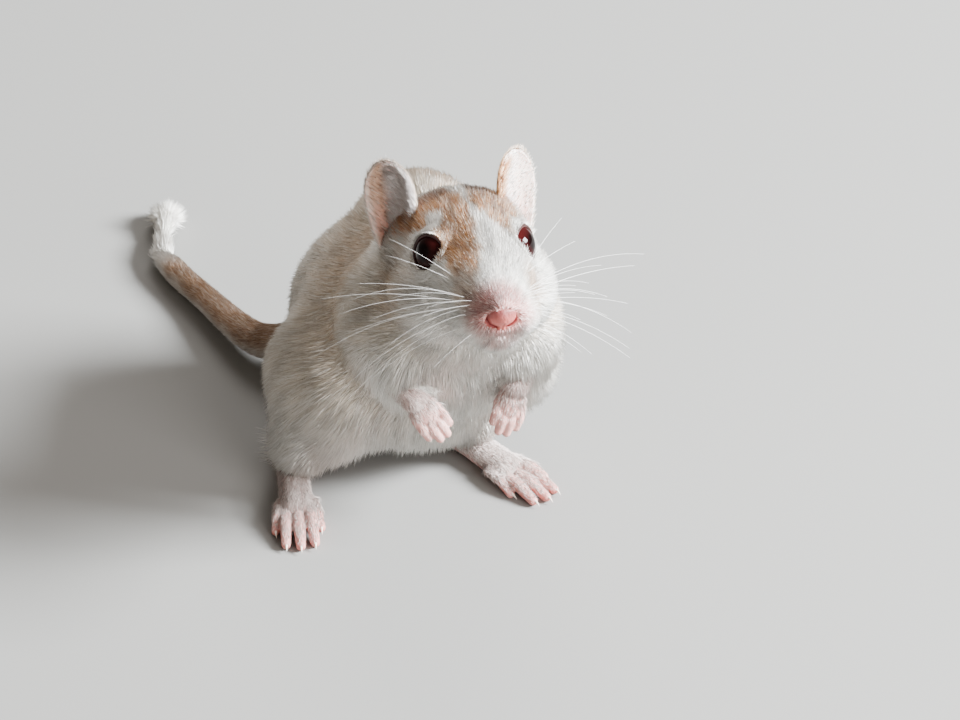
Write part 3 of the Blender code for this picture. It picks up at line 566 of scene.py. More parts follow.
def coat_plan(places, ups):
    """All that the coat needs at places of the animal's frame, given the directions out of the skin."""
    points = to_head(places)
    head = (1 - step(10, 17, points[:, 1])) * step(-16, -12, points[:, 2])
    tail_far, tail_share, tail_way = near_path(places, TAIL_PATH)
    tail = 1 - step(3.4, 5.2, tail_far)
    arm, arm_way = np.zeros(len(places)), np.zeros((len(places), 3))
    for path in ARMS.values():
        far, share, way = near_path(places, path[:2])
        near = (1 - step(2.2, 3.4, far)) * step(0.6, 0.95, share)
        arm_way[near > arm] = way[near > arm]
        arm = np.maximum(arm, near)
    nose_far = np.linalg.norm(points - NOSE_TIP, axis=1)
    rim, away = eye_rim(points)
    tuft = tail * step(TUFT_START, TUFT_FULL, tail_share)
    fringe = [spot(places, middle, CHEST_FRINGE_RADII, 0.5) for middle in CHEST_FRINGE]
    fringe = np.maximum.reduce(fringe) * (1 - arm)
    under = step(0.1, 0.8, -ups[:, 2]) * (1 - head)

    # The way the hair lies: round the eyes, and turned a little here and there
    head_lie = unit(points - HEAD_SOURCE)
    towards = np.minimum((head_lie * away).sum(axis=1), 0) * (1 - step(1.3, 2.6, rim))
    head_lie = unit(head_lie - 1.1 * away * towards[:, None]) @ turn_rows.T
    lie = unit(places - BODY_SOURCE)
    lie += (head_lie - lie) * head[:, None]
    lie += (np.array(HANGING) - lie) * 0.7 * fringe[:, None]
    lie += (tail_way - lie) * tail[:, None]
    lie += (arm_way - lie) * arm[:, None]
    lie = laid(lie, ups)
    turn = 0.20 * soft_noise(places, 0.35, 11) + 0.14 * soft_noise(places, 1.1, 12)
    lie = unit(lie + np.cross(ups, lie) * turn[:, None])

    # Length, width and lift: shortest round the nose and eyes, longest on belly and tail tip
    length = 3.3 + 0.9 * under + 2.0 * fringe
    length += (0.7 + np.minimum(0.085 * nose_far, 1.8) - length) * head
    length *= 1 - 0.5 * head * (1 - step(1.1, 2.4, rim))
    length += (1.7 - length) * tail
    length += (1.6 - length) * arm
    length += (4.4 - 1.8 * step(0.86, 1.0, tail_share) - length) * tuft
    width = 0.21 + (0.09 + 0.008 * np.minimum(nose_far, 15) - 0.21) * head
    width += (0.13 - width) * np.maximum(tail, arm)
    lift = 11 + 12 * under + 6 * fringe + 2 * head
    lift += (11 + 4 * tuft * (1 - step(0.84, 0.97, tail_share)) - lift) * tail
    lift += 0.55 * tuft * np.degrees(np.arcsin(np.clip((ups * tail_way).sum(axis=1), 0, 1)))
    lift -= 4 * head * (1 - step(1.1, 2.0, rim))

    bare = np.maximum(spot(points, *NOSE_BARE, 0.18), 1 - step(1.0, 1.1, rim))
    cover = 5.5 + 1.0 * head
    density = 2 * cover / (length * width) * (1 - step(0.3, 0.9, bare))
    density *= 1 + 5.0 * tuft

    # Colours of hair and hide
    back = step(22, 36, places[:, 2] - 0.25 * (places[:, 1] - 10)) * step(-8, 2, places[:, 1])
    flank = step(9, 22, places[:, 2]) * step(-10, 0, places[:, 1])
    patch = 0.5 + 0.5 * soft_noise(places, 0.16, 21)
    coat = mixed(evenly(WHITE, places), CREAM, 0.45 * flank + 0.35 * back)
    coat = mixed(coat, GINGER, 0.30 * back * (1 - head) * step(0.25, 0.8, patch))
    nape = step(-4, 9, points[:, 1]) * step(-1, 4, -points[:, 2])
    head_coat = mixed(evenly(WHITE, places), CREAM, 0.5 * nape)
    # Painted shade: a tan wash behind the right cheek, on the side away from the window
    head_coat = mixed(head_coat, CHEEK_SHADE_TAN, 0.55 * spot(points, *CHEEK_SHADE_PATCH, 0.7))
    marks = head_markings(points)
    dark_roots = DARK_ROOTS * marks * step(0.0, 0.8, streaks(points, HEAD_SOURCE, 43))
    head_coat = mixed(head_coat, GINGER, 0.95 * marks)
    head_coat = mixed(head_coat, DARK_GINGER, np.maximum(0.92 * crown_marks(points), dark_roots))
    coat += (head_coat - coat) * head[:, None]
    upward = step(-0.3, 0.5, ups[:, 2] + 0.25 * soft_noise(places, 0.5, 23))
    brown = (0.3 + 0.6 * upward) * (1 - step(0.68, 0.76, tail_share))
    tail_coat = mixed(evenly(WHITE, places), DARK_TAIL, brown)
    coat += (tail_coat - coat) * tail[:, None]
    coat = mixed(coat, GINGER, 0.2 * arm * upward)
    blush = head * np.maximum(1 - step(2.8, 6.0, nose_far), 0.6 * spot(points, *LIP_BLUSH, 0.5))
    coat = mixed(coat, NOSE_BLUSH, 0.9 * blush)
    # Painted light and shade: streaks along the hair brighten and darken the coat, by up to about a fifth on
    # the head and a tenth on the body; in the ginger they are partly the hair's own streaks
    head_light_shade_streaks, body_light_shade_streaks = streaks(points, HEAD_SOURCE, 19), streaks(places, BODY_SOURCE, 20)
    coat *= (1 + 0.18 * head * head_light_shade_streaks + 0.11 * (1 - head) * (1 - tail) * body_light_shade_streaks)[:, None]
    # The hide is the coat's colour darkened by a tenth: painted shade between the hairs
    hide = mixed(coat * 0.90, NOSE_BLUSH, np.maximum(0.9 * blush, 0.05 * head))
    hide = mixed(hide, LID_BROWN, 1 - step(1.06, 1.16, rim))
    return {
        "lie": lie, "length": length, "width": width, "lift": np.radians(lift),
        "density": density, "coat": coat, "hide": hide, "bare": bare, "long": tuft,
        "order": places[:, 1] - 100 * head,
    }


def store(mesh, name, values, kind="FLOAT", domain="POINT"):
    """Writes an attribute of numbers, directions or colours."""
    attribute = mesh.attributes.new(name, kind, domain)
    if kind == "FLOAT_COLOR":
        values = np.concatenate([values, np.ones((len(values), 1))], axis=1)
        attribute.data.foreach_set("color", np.asarray(values, np.float32).ravel())
    elif kind in ("FLOAT_VECTOR", "FLOAT2"):
        attribute.data.foreach_set("vector", np.asarray(values, np.float32).ravel())
    else:
        attribute.data.foreach_set("value", np.asarray(values).ravel())


def plan_coat(obj, planner):
    """Draws a hide in by its coat's depth and writes the plan of the coat onto it."""
    mesh = obj.data
    places, ups = in_animal(mesh), normals(mesh)
    plan = planner(places, ups)
    depth = 0.75 * plan["length"] * np.sin(plan["lift"]) * (1 - plan["bare"])
    place_vertices(mesh, (places - ups * depth[:, None] + home_row) * MM)
    for name in ("length", "width"):
        store(mesh, name, plan[name] * MM)
    store(mesh, "lift", plan["lift"])
    store(mesh, "density", plan["density"] / MM ** 2)
    store(mesh, "lie", plan["lie"], "FLOAT_VECTOR")
    store(mesh, "up", normals(mesh), "FLOAT_VECTOR")
    for name in ("coat", "hide"):
        store(mesh, name, plan[name], "FLOAT_COLOR")
    return plan


skin_plan = plan_coat(skin, coat_plan)

# Hide: the skin between the hairs, in the coat's own colours darkened by a tenth as painted shade between the
# hairs, bare and pink at the nose.
# The fine short hair that lies flat is bump, drawn out along the body.
HAIR_SCALE = 900.0
HIDE_BUMP = 0.25
HIDE_RELIEF = 0.0003
HIDE_SHINE = 0.35


def new_group(name, kind, sockets):
    """A node group with its inputs and outputs, still empty."""
    tree = bpy.data.node_groups.new(name, kind)
    for title, way, value in sockets:
        tree.interface.new_socket(title, in_out=way, socket_type="NodeSocket" + value)
    return tree


def fine_hair_group():
    """Fine streaks and a slow unevenness, as a value around one and a height."""
    tree = new_group("fine_hair", "ShaderNodeTree", (
        ("Vector", "INPUT", "Vector"), ("Scale", "INPUT", "Float"),
        ("Shade", "OUTPUT", "Float"), ("Height", "OUTPUT", "Float"),
    ))
    table = (
        ("entry", "NodeGroupInput", {}, {}),
        ("leave", "NodeGroupOutput", {}, {}),
        ("stretch", "ShaderNodeMapping", {}, {"Scale": (1.0, 0.3, 0.6)}),
        ("fine", "ShaderNodeTexNoise", {}, {"Detail": 3.0}),
        ("slow", "ShaderNodeTexNoise", {}, {"Scale": 120.0}),
        ("blend", "ShaderNodeMath", {"operation": "MULTIPLY_ADD"}, {1: 0.35}),
        ("shade", "ShaderNodeMapRange", {}, {"To Min": 0.76, "To Max": 1.10}),
    )
    wires = (
        "entry.Vector > stretch.Vector", "stretch.Vector > fine.Vector", "entry.Scale > fine.Scale",
        "entry.Vector > slow.Vector", "slow.Fac > blend.0", "fine.Fac > blend.2",
        "blend.Value > shade.Value", "shade.Result > leave.Shade", "fine.Fac > leave.Height",
    )
    add_nodes(tree, table, wires)
    return tree


fine_hair = fine_hair_group()


def hide_finish(name, roughness, bump, scale, glow=0.12):
    """A soft hide whose colour comes from its plan, broken up by fine streaks."""
    looks = {
        "Roughness": roughness, "Subsurface Weight": glow, "Subsurface Radius": (1.0, 0.4, 0.3),
        "Subsurface Scale": MM, "Specular IOR Level": HIDE_SHINE,
    }
    table = (
        ("colour", "ShaderNodeAttribute", {"attribute_name": "hide"}, {}),
        ("where", "ShaderNodeTexCoord", {}, {}),
        ("hair", "ShaderNodeGroup", {"node_tree": fine_hair}, {"Scale": scale}),
        ("tint", "ShaderNodeVectorMath", {"operation": "SCALE"}, {}),
        ("relief", "ShaderNodeBump", {}, {"Strength": bump, "Distance": HIDE_RELIEF}),
    )
    wires = (
        "where.Object > hair.Vector", "colour.Color > tint.0", "hair.Shade > tint.Scale",
        "tint.Vector > shader.Base Color", "hair.Height > relief.Height", "relief.Normal > shader.Normal",
    )
    return new_finish(name, looks, table, wires)


def dress(mesh, finish):
    mesh.materials.clear()
    mesh.materials.append(finish)


dress(skin.data, hide_finish("furred_hide", roughness=0.6, bump=HIDE_BUMP, scale=HAIR_SCALE))

# Coat: thin pointed tufts that grow from the hide and lie back over it, as Geometry Nodes scatter them.
# Short hair is straight spikes, and the tail's tip has bent locks. Each keeps its root's place on the unwrap.
UNWRAP_ANGLE = 66.0
UNWRAP_MARGIN = 0.004
PATCH_SIZE = 0.003
SPIKES = 300000
SPIKES_PER_PIECE = 47000
LOCKS_PER_PIECE = 18000
TUFT_THICKNESS = 0.022
COAT_SEED = 7
COAT_DISORDER = 0.08
SHORT_DISORDER = 0.12
FLOOR_CLEARANCE = 0.00008


def unwrap(obj):
    """Unwraps a hide by its own shape and names the map for the coat."""
    bpy.context.view_layer.objects.active = obj
    obj.select_set(True)
    obj.data.uv_layers.new(name="OFBake")
    bpy.ops.object.mode_set(mode="EDIT")
    bpy.ops.mesh.select_all(action="SELECT")
    bpy.ops.uv.smart_project(angle_limit=math.radians(UNWRAP_ANGLE), island_margin=UNWRAP_MARGIN)
    bpy.ops.object.mode_set(mode="OBJECT")
    obj.select_set(False)
    places = listed(obj.data.uv_layers["OFBake"].data, "uv", columns=2)
    store(obj.data, "root_place", places, "FLOAT2", "CORNER")


def tuft_form(name, levels, bend):
    """One tuft of unit length and width: three-sided, it rises along Z and bends back towards -X."""
    bm = bmesh.new()
    rings = []
    for height, fullness in levels:
        back = -bend * height ** 2
        across, thick = 0.5 * fullness, TUFT_THICKNESS * fullness
        corners = ((back - thick / 3, -across), (back - thick / 3, across), (back + thick, 0))
        rings.append([bm.verts.new((*corner, height)) for corner in corners])
    tip = bm.verts.new((-bend, 0, 1))
    bm.faces.new(rings[0])
    for k in range(3):
        m = (k + 1) % 3
        for lower, upper in zip(rings, rings[1:]):
            bm.faces.new((lower[k], lower[m], upper[m], upper[k]))
        bm.faces.new((rings[-1][k], rings[-1][m], tip))
    bmesh.ops.triangulate(bm, faces=bm.faces)
    bmesh.ops.recalc_face_normals(bm, faces=bm.faces)
    mesh = mesh_from(name, bm)
    shade_smooth(mesh)
    heights = coordinates(mesh)
    store(mesh, "along", heights[:, 2])
    store(mesh, "patch", np.stack([heights[:, 1], heights[:, 2] - 0.5], axis=1), "FLOAT2")
    return add_object(name, mesh)


def coat_tree():
    """Scatters a tuft over a hide by the hide's own plan."""
    tree = new_group("coat", "GeometryNodeTree", (
        ("Hide", "INPUT", "Geometry"), ("Tuft", "INPUT", "Object"), ("Region", "INPUT", "Int"),
        ("Seed", "INPUT", "Int"), ("Fullness", "INPUT", "Float"), ("Disorder", "INPUT", "Float"),
        ("Patch Size", "INPUT", "Float"), ("Finish", "INPUT", "Material"), ("Coat", "OUTPUT", "Geometry"),
    ))
    entry = tree.nodes.new("NodeGroupInput").outputs

    def make(kind, inputs, out=0, **settings):
        """An output of a new node, each of whose inputs is a value or the socket that feeds it."""
        node = tree.nodes.new(kind)
        for setting, value in settings.items():
            setattr(node, setting, value)
        for socket, value in inputs.items():
            if isinstance(value, bpy.types.NodeSocket):
                tree.links.new(value, node.inputs[socket])
            else:
                node.inputs[socket].default_value = value
        return node.outputs[out] if node.outputs else None

    def plan(name, kind="FLOAT"):
        return make("GeometryNodeInputNamedAttribute", {"Name": name}, "Attribute", data_type=kind)

    def number(operation, *values):
        return make("ShaderNodeMath", dict(enumerate(values)), operation=operation)

    def scaled(arrow, scale):
        return make("ShaderNodeVectorMath", {0: arrow, "Scale": scale}, operation="SCALE")

    def added(arrow, other):
        return make("ShaderNodeVectorMath", {0: arrow, 1: other}, operation="ADD")

    def chance(low, high, offset, kind="FLOAT"):
        node = tree.nodes.new("FunctionNodeRandomValue")
        node.data_type = kind
        limits = [socket for socket in node.inputs if socket.enabled]
        limits[0].default_value, limits[1].default_value = low, high
        tree.links.new(number("ADD", entry["Seed"], offset), node.inputs["Seed"])
        return next(socket for socket in node.outputs if socket.enabled)

    points = make("GeometryNodeDistributePointsOnFaces", {
        "Mesh": entry["Hide"],
        "Selection": make(
            "FunctionNodeCompare", {2: plan("region", "INT"), 3: entry["Region"]},
            data_type="INT", operation="EQUAL",
        ),
        "Density": number("MULTIPLY", plan("density"), entry["Fullness"]),
        "Seed": entry["Seed"],
    })
    points = make("GeometryNodeStoreNamedAttribute", {
        "Geometry": points, "Name": "tone", "Value": chance(0.0, 1.0, 1.0),
    }, domain="POINT")

    # Each tuft leans back along its lie, a little more or less than planned
    lift = number("MULTIPLY", plan("lift"), chance(0.75, 1.3, 2.0))
    up = plan("up", "FLOAT_VECTOR")
    along = scaled(plan("lie", "FLOAT_VECTOR"), number("COSINE", lift))
    outward = scaled(up, number("SINE", lift))
    stray = scaled(chance((-1, -1, -1), (1, 1, 1), 3.0, "FLOAT_VECTOR"), entry["Disorder"])
    turn = make("FunctionNodeAxesToRotation", {
        "Primary Axis": added(added(along, outward), stray), "Secondary Axis": up,
    }, primary_axis="Z", secondary_axis="X")
    long = number("MULTIPLY", plan("length"), chance(0.7, 1.25, 4.0))
    wide = number("MULTIPLY", plan("width"), chance(0.7, 1.3, 5.0))
    tufts = make("GeometryNodeInstanceOnPoints", {
        "Points": points,
        "Instance": make("GeometryNodeObjectInfo", {"Object": entry["Tuft"]}, "Geometry"),
        "Rotation": turn,
        "Scale": make("ShaderNodeCombineXYZ", {0: long, 1: wide, 2: long}),
    })
    patch = scaled(plan("patch", "FLOAT_VECTOR"), entry["Patch Size"])
    coat = make("GeometryNodeStoreNamedAttribute", {
        "Geometry": make("GeometryNodeRealizeInstances", {"Geometry": tufts}), "Name": "OFBake",
        "Value": added(plan("root_place", "FLOAT_VECTOR"), patch),
    }, data_type="FLOAT2", domain="CORNER")
    coat = make("GeometryNodeSetMaterial", {"Geometry": coat, "Material": entry["Finish"]})
    make("NodeGroupOutput", {"Coat": coat})
    return tree


def hair_finish(name):
    """Hair in its root's colour: darker at the root and paler at the tip, partly the hair's own colour and
    partly painted shade deep in the coat, and no two tufts alike.
    """
    looks = {"Roughness": 0.55, "Specular IOR Level": 0.35, "Sheen Weight": 0.08}
    table = (
        ("colour", "ShaderNodeAttribute", {"attribute_name": "coat"}, {}),
        ("tone", "ShaderNodeAttribute", {"attribute_name": "tone"}, {}),
        ("along", "ShaderNodeAttribute", {"attribute_name": "along"}, {}),
        ("depth", "ShaderNodeMapRange", {}, {"To Min": 1.6, "To Max": 0.7}),
        ("strand", "ShaderNodeGamma", {}, {}),
        ("pale", "ShaderNodeMapRange", {}, {"From Min": 0.66, "From Max": 0.98, "To Max": 0.42}),
        ("among", "ShaderNodeMix", {"data_type": "RGBA"}, {"B": (*WHITE, 1)}),
        ("chance", "ShaderNodeMapRange", {}, {"To Min": 0.78, "To Max": 1.10}),
        # Darker towards the root: partly the hair's own colour, partly painted shade deep in the coat
        ("fade", "ShaderNodeMapRange", {}, {"To Min": 0.82, "To Max": 1.04}),
        ("both", "ShaderNodeMath", {"operation": "MULTIPLY"}, {}),
        ("tint", "ShaderNodeVectorMath", {"operation": "SCALE"}, {}),
    )
    wires = (
        "tone.Fac > depth.Value", "depth.Result > strand.Gamma", "colour.Color > strand.Color",
        "tone.Fac > pale.Value", "pale.Result > among.Factor", "strand.Color > among.A",
        "tone.Fac > chance.Value", "along.Fac > fade.Value", "chance.Result > both.0", "fade.Result > both.1",
        "among.Result > tint.0", "both.Value > tint.Scale", "tint.Vector > shader.Base Color",
    )
    return new_finish(name, looks, table, wires)


def share_out(obj, plan, budget=None):
    """Splits a hide's faces into regions that each grow few enough tufts: their forms and the fullness."""
    mesh = obj.data
    sides = listed(mesh.polygons, "loop_total", np.int32)
    corners = listed(mesh.loops, "vertex_index", np.int32)
    starts = np.concatenate(([0], np.cumsum(sides)[:-1]))

    def mean(values):
        return np.add.reduceat(values[corners], starts) / sides

    tufts = listed(mesh.polygons, "area") / MM ** 2 * mean(plan["density"])
    fullness = budget / tufts.sum() if budget else 1.0
    tufts *= fullness
    long = mean(plan["long"]) > 0.5
    order = np.argsort(mean(plan["order"]), kind="stable")
    regions = np.zeros(len(tufts), np.int32)
    forms = []
    for form, chosen, most in ((spike, ~long, SPIKES_PER_PIECE), (lock, long, LOCKS_PER_PIECE)):
        picked = order[chosen[order]]
        if not len(picked):
            continue
        total = tufts[picked].sum()
        count = math.ceil(total / most)
        split = np.minimum(np.cumsum(tufts[picked]) / total * count, count - 1)
        regions[picked] = len(forms) + split.astype(np.int32)
        forms += [form] * count
    store(mesh, "region", regions, "INT", "FACE")
    return forms, fullness


spike = tuft_form("spike", ((0.0, 1.0),), 0.0)
lock = tuft_form("lock", ((0.0, 1.0), (0.45, 0.8)), 0.12)
grow_coat = coat_tree()
coat_finish = hair_finish("soft_fur")
coat_inputs = {item.name: item.identifier for item in grow_coat.interface.items_tree}
SCRAP = ("length", "width", "lift", "density", "lie", "up", "hide", "region", "root_place", "patch")


def grow(hide, forms, fullness, name, slot, disorder=COAT_DISORDER):
    """Grows each region's tufts as a plain mesh of their own, kept off the floor."""
    for region, form in enumerate(forms):
        piece = add_object(f"{name}_{region + 1}", hide.data.copy())
        growth = piece.modifiers.new("coat", "NODES")
        growth.node_group = grow_coat
        values = {
            "Tuft": form, "Region": region, "Seed": COAT_SEED + region, "Fullness": fullness,
            "Disorder": disorder, "Patch Size": PATCH_SIZE, "Finish": coat_finish,
        }
        for socket, value in values.items():
            growth[coat_inputs[socket]] = value
        applied(piece)
        for scrap in SCRAP:
            if scrap in piece.data.attributes:
                piece.data.attributes.remove(piece.data.attributes[scrap])
        places = coordinates(piece.data)
        places[:, 2] = np.maximum(places[:, 2], FLOOR_CLEARANCE)
        place_vertices(piece.data, places)
        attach(piece, "root")


unwrap(skin)
grow(skin, *share_out(skin, skin_plan, SPIKES), "coat", "coat")
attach(skin, "root")
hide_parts(*FLESH, "tail_tip")

# Eyes: dark ruby balls with a black pupil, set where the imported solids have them.
# A low cornea stands out over the iris, and the rest is hidden by the lids.
EYE_SEGMENTS = 64
EYE_RINGS = 40
CORNEA_ANGLE = 50.0
CORNEA_RISE = 0.10
IRIS_STOPS = (
    (0.22, (0.003, 0.001, 0.001, 1)),
    (0.40, (0.020, 0.003, 0.003, 1)),
    (0.62, (0.032, 0.004, 0.004, 1)),
    (0.80, (0.008, 0.002, 0.002, 1)),
)


def eye_finish():
    """Ruby, nearly black at the pupil and the rim, with fine streaks in the iris."""
    looks = {"Roughness": 0.04, "IOR": 1.4, "Specular IOR Level": 0.14}
    table = (
        ("off_axis", "ShaderNodeAttribute", {"attribute_name": "off_axis"}, {}),
        ("where", "ShaderNodeTexCoord", {}, {}),
        ("fine", "ShaderNodeTexNoise", {}, {"Scale": 1400.0, "Detail": 3.0}),
        ("spread", "ShaderNodeMath", {"operation": "MULTIPLY_ADD"}, {1: 0.10}),
        ("iris", "ShaderNodeValToRGB", {"name": "iris"}, {}),
    )
    wires = (
        "where.Object > fine.Vector", "fine.Fac > spread.0", "off_axis.Fac > spread.2",
        "spread.Value > iris.Fac", "iris.Color > shader.Base Color",
    )
    finish = new_finish("eye_ruby", looks, table, wires)
    stops = finish.node_tree.nodes["iris"].color_ramp.elements
    for stop, (position, colour) in zip(stops, IRIS_STOPS[:2]):
        stop.position, stop.color = position, colour
    for position, colour in IRIS_STOPS[2:]:
        stops.new(position).color = colour
    return finish


ruby = eye_finish()
for name, side in SIDES.items():
    middle, gaze, _, _ = eye_axes(side)
    ball, faces = ball_form(EYE_SEGMENTS, EYE_RINGS)
    off_axis = np.degrees(np.arccos(np.clip(ball @ gaze, -1, 1)))
    rise = CORNEA_RISE * (1 - step(0, CORNEA_ANGLE, off_axis))
    ball = middle + ball * (EYE_RADIUS + rise)[:, None]
    mesh = mesh_of("eye_" + name, [from_head(point) for point in ball.tolist()], faces)
    store(mesh, "off_axis", off_axis / 90)
    shade_smooth(mesh)
    dress(mesh, ruby)
    eyeball = add_object("eyeball_" + name, mesh)
    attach(eyeball, "root")
    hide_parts("eye_" + name)

# Lid margins: a dark moist rim round each opening, thicker above.
# Each is a closed tube that follows the almond on the ball of the eye.
LID_STEPS = 72
LID_DISTANCE = 3.34
LID_RADIUS = 0.17
LID_EXTRA_ABOVE = 0.06


def tube_form(points, radii, sides=8, closed=False):
    """The places and faces of a tube through a line of points, with closed ends or none."""
    points = np.array(points, float)
    ways = np.roll(points, -1, axis=0) - np.roll(points, 1, axis=0)
    if not closed:
        ways[0], ways[-1] = points[1] - points[0], points[-1] - points[-2]
    ways = unit(ways)
    normal = unit(np.cross(ways[0], (0.31, 0.52, 0.79)))
    places = []
    for point, way, radius in zip(points, ways, radii):
        normal = unit(normal - way * (normal @ way))
        side = np.cross(way, normal)
        for k in range(sides):
            angle = 2 * math.pi * k / sides
            places.append(point + radius * (normal * math.cos(angle) + side * math.sin(angle)))
    faces = []
    for i in range(len(points) if closed else len(points) - 1):
        low, high = i * sides, (i + 1) % len(points) * sides
        faces += [(low + k, low + (k + 1) % sides, high + (k + 1) % sides, high + k) for k in range(sides)]
    if not closed:
        faces += [tuple(range(sides))[::-1], tuple(range((len(points) - 1) * sides, len(points) * sides))]
    return np.array(places), faces


def face_outwards(mesh):
    bm = bmesh.new()
    bm.from_mesh(mesh)
    bmesh.ops.recalc_face_normals(bm, faces=bm.faces)
    bm.to_mesh(mesh)
    bm.free()


def forms_mesh(name, forms):
    """Several tubes as one mesh."""
    places, faces = [], []
    for form_places, form_faces in forms:
        faces += [tuple(index + len(places) for index in face) for face in form_faces]
        places += form_places.tolist()
    mesh = mesh_of(name, places, faces)
    face_outwards(mesh)
    shade_smooth(mesh)
    return mesh


def lid_line(side):
    middle, gaze, level, rise = eye_axes(side)
    points, radii = [], []
    for k in range(LID_STEPS):
        angle = 2 * math.pi * k / LID_STEPS
        c, s = math.cos(angle), math.sin(angle)
        across = LID_CLOSE * EYE_OPENING[0] * math.copysign(abs(c) ** (2 / EYE_OPENING_POWER), c)
        high = LID_CLOSE * EYE_OPENING[1] * math.copysign(abs(s) ** (2 / EYE_OPENING_POWER), s)
        ahead = math.sqrt(LID_DISTANCE ** 2 - across ** 2 - high ** 2)
        points.append(from_head((middle + gaze * ahead + level * across + rise * high).tolist()))
        radii.append((LID_RADIUS + LID_EXTRA_ABOVE * max(0.0, s)) * MM)
    return points, radii


lid_finish = hide_finish("lid_skin", roughness=0.35, bump=0.15, scale=1500.0)
for name, side in SIDES.items():
    mesh = forms_mesh("lid_margin", [tube_form(*lid_line(side), closed=True)])
    store(mesh, "hide", evenly(LID_BROWN, mesh.vertices), "FLOAT_COLOR")
    dress(mesh, lid_finish)
    lid = add_object("lid_margin_" + name, mesh)
    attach(lid, "root")

# Nose: the bare pink leather, laid over the skin's own form, with its two curved nostrils.
# The groove of the upper lip runs down from it to the mouth.
NOSE_CENTRE = (0.0, -12.6, -4.8)
NOSE_SPAN = ((-60.0, 60.0), (-68.0, 42.0))
NOSE_STEPS = (96, 96)
PAD = ((0.0, -5.0), (2.75, 1.8))
NOSTRIL_PATH = ((2.25, -4.0), (2.25, -4.9), (1.75, -5.7), (0.8, -6.25))
NOSTRIL_DEPTH = 0.50
NOSTRIL_WIDTH = 0.36
PHILTRUM = ((0.0, -5.6), (0.0, -8.0))
LIP_LINE = ((-2.6, -8.5), (-1.3, -8.15), (0.0, -7.9), (1.3, -8.15), (2.6, -8.5))
NOSE_SMOOTHING = 14
NOSE_PINK = (0.21, 0.054, 0.050)
NOSE_PROUD = 0.10
NOSE_SUNK = 0.35
NOSE_ROOM = 1.1
NOSE_EDGE = (0.70, 0.36, 0.32)
NOSTRIL_RED = (0.16, 0.012, 0.012)


def groove(places, path, width):
    far, _, _ = near_path(places, path)
    return np.exp(-(far / width) ** 2)


def pad_reach(places):
    """How far places of the face's plane lie from the pad's middle, where 1 is its edge."""
    return np.linalg.norm((places - PAD[0]) / PAD[1], axis=1)


def lip_area(places):
    return np.maximum(groove(places, LIP_LINE, 0.65), groove(places, PHILTRUM, 0.7))


def grid_faces(wide, tall):
    """Faces between the points of a grid, row by row."""
    return [
        (i * wide + k, i * wide + k + 1, (i + 1) * wide + k + 1, (i + 1) * wide + k)
        for i in range(tall - 1) for k in range(wide - 1)
    ]


skin_tree = BVHTree.FromObject(skin, bpy.context.evaluated_depsgraph_get())
turns = np.radians(np.linspace(*NOSE_SPAN[0], NOSE_STEPS[0]))
rises = np.radians(np.linspace(*NOSE_SPAN[1], NOSE_STEPS[1]))
turn_grid, rise_grid = np.meshgrid(turns, rises)
level = np.cos(rise_grid)
rays = np.stack([np.sin(turn_grid) * level, -np.cos(turn_grid) * level, np.sin(rise_grid)], axis=-1)
reach = np.empty(rays.shape[:2])
start = from_head(NOSE_CENTRE)
for index in np.ndindex(reach.shape):
    _, _, _, far = skin_tree.ray_cast(start, head_turn @ Vector(rays[index]))
    reach[index] = far / MM
for _ in range(NOSE_SMOOTHING):
    padded = np.pad(reach, 1, mode="edge")
    reach = (padded[:-2, 1:-1] + padded[2:, 1:-1] + padded[1:-1, :-2] + padded[1:-1, 2:] + 2 * reach) / 6
form = (np.array(NOSE_CENTRE) + rays * reach[..., None]).reshape(-1, 3)
flat = form[:, (0, 2)]
mirrored = np.abs(flat * (1, 0)) + flat * (0, 1)
pad = 1 - step(0.8, 1.12, pad_reach(flat))
nostril = groove(mirrored, NOSTRIL_PATH, NOSTRIL_WIDTH)
philtrum = groove(flat, PHILTRUM, 0.18)
lips = groove(flat, LIP_LINE, 0.16)
bare = np.maximum(pad, step(0.25, 0.6, lip_area(flat) * step(-9.4, -8.6, flat[:, 1])))
height = -NOSE_SUNK + (NOSE_SUNK + NOSE_PROUD) * bare
height += 0.22 * pad * np.exp(-(np.linalg.norm((flat - (0, -4.7)) / (1.1, 1.1), axis=1) ** 2))
height -= NOSTRIL_DEPTH * nostril + 0.16 * philtrum + 0.22 * lips
form += rays.reshape(-1, 3) * height[:, None]
colours = mixed(evenly(NOSE_EDGE, form), NOSE_PINK, pad)
colours = mixed(colours, RED_PINK, 0.55 * pad * (1 - step(-5.6, -3.6, flat[:, 1])))
colours = mixed(colours, NOSTRIL_RED, step(0.25, 0.9, nostril))
colours = mixed(colours, RED_PINK, 0.7 * np.maximum(lips, 0.5 * philtrum))

# The skin makes room under the leather
skin_places = coordinates(skin.data)
skin_points = (skin_places / MM - head_row) @ turn_rows
skin_flat = skin_points[:, (0, 2)]
under_pad = 1 - step(0.72, 0.95, pad_reach(skin_flat))
room = np.maximum(under_pad, step(0.45, 0.8, lip_area(skin_flat))) * step(-12.0, -13.5, skin_points[:, 1])
place_vertices(skin.data, skin_places - normals(skin.data) * (NOSE_ROOM * MM * room)[:, None])
nose_mesh = mesh_of("nose_leather", [from_head(point) for point in form.tolist()], grid_faces(*NOSE_STEPS))
store(nose_mesh, "hide", colours, "FLOAT_COLOR")
shade_smooth(nose_mesh)
dress(nose_mesh, hide_finish("nose_leather", roughness=0.42, bump=0.45, scale=2600.0, glow=0.15))
nose = add_object("nose_leather", nose_mesh)
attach(nose, "root")
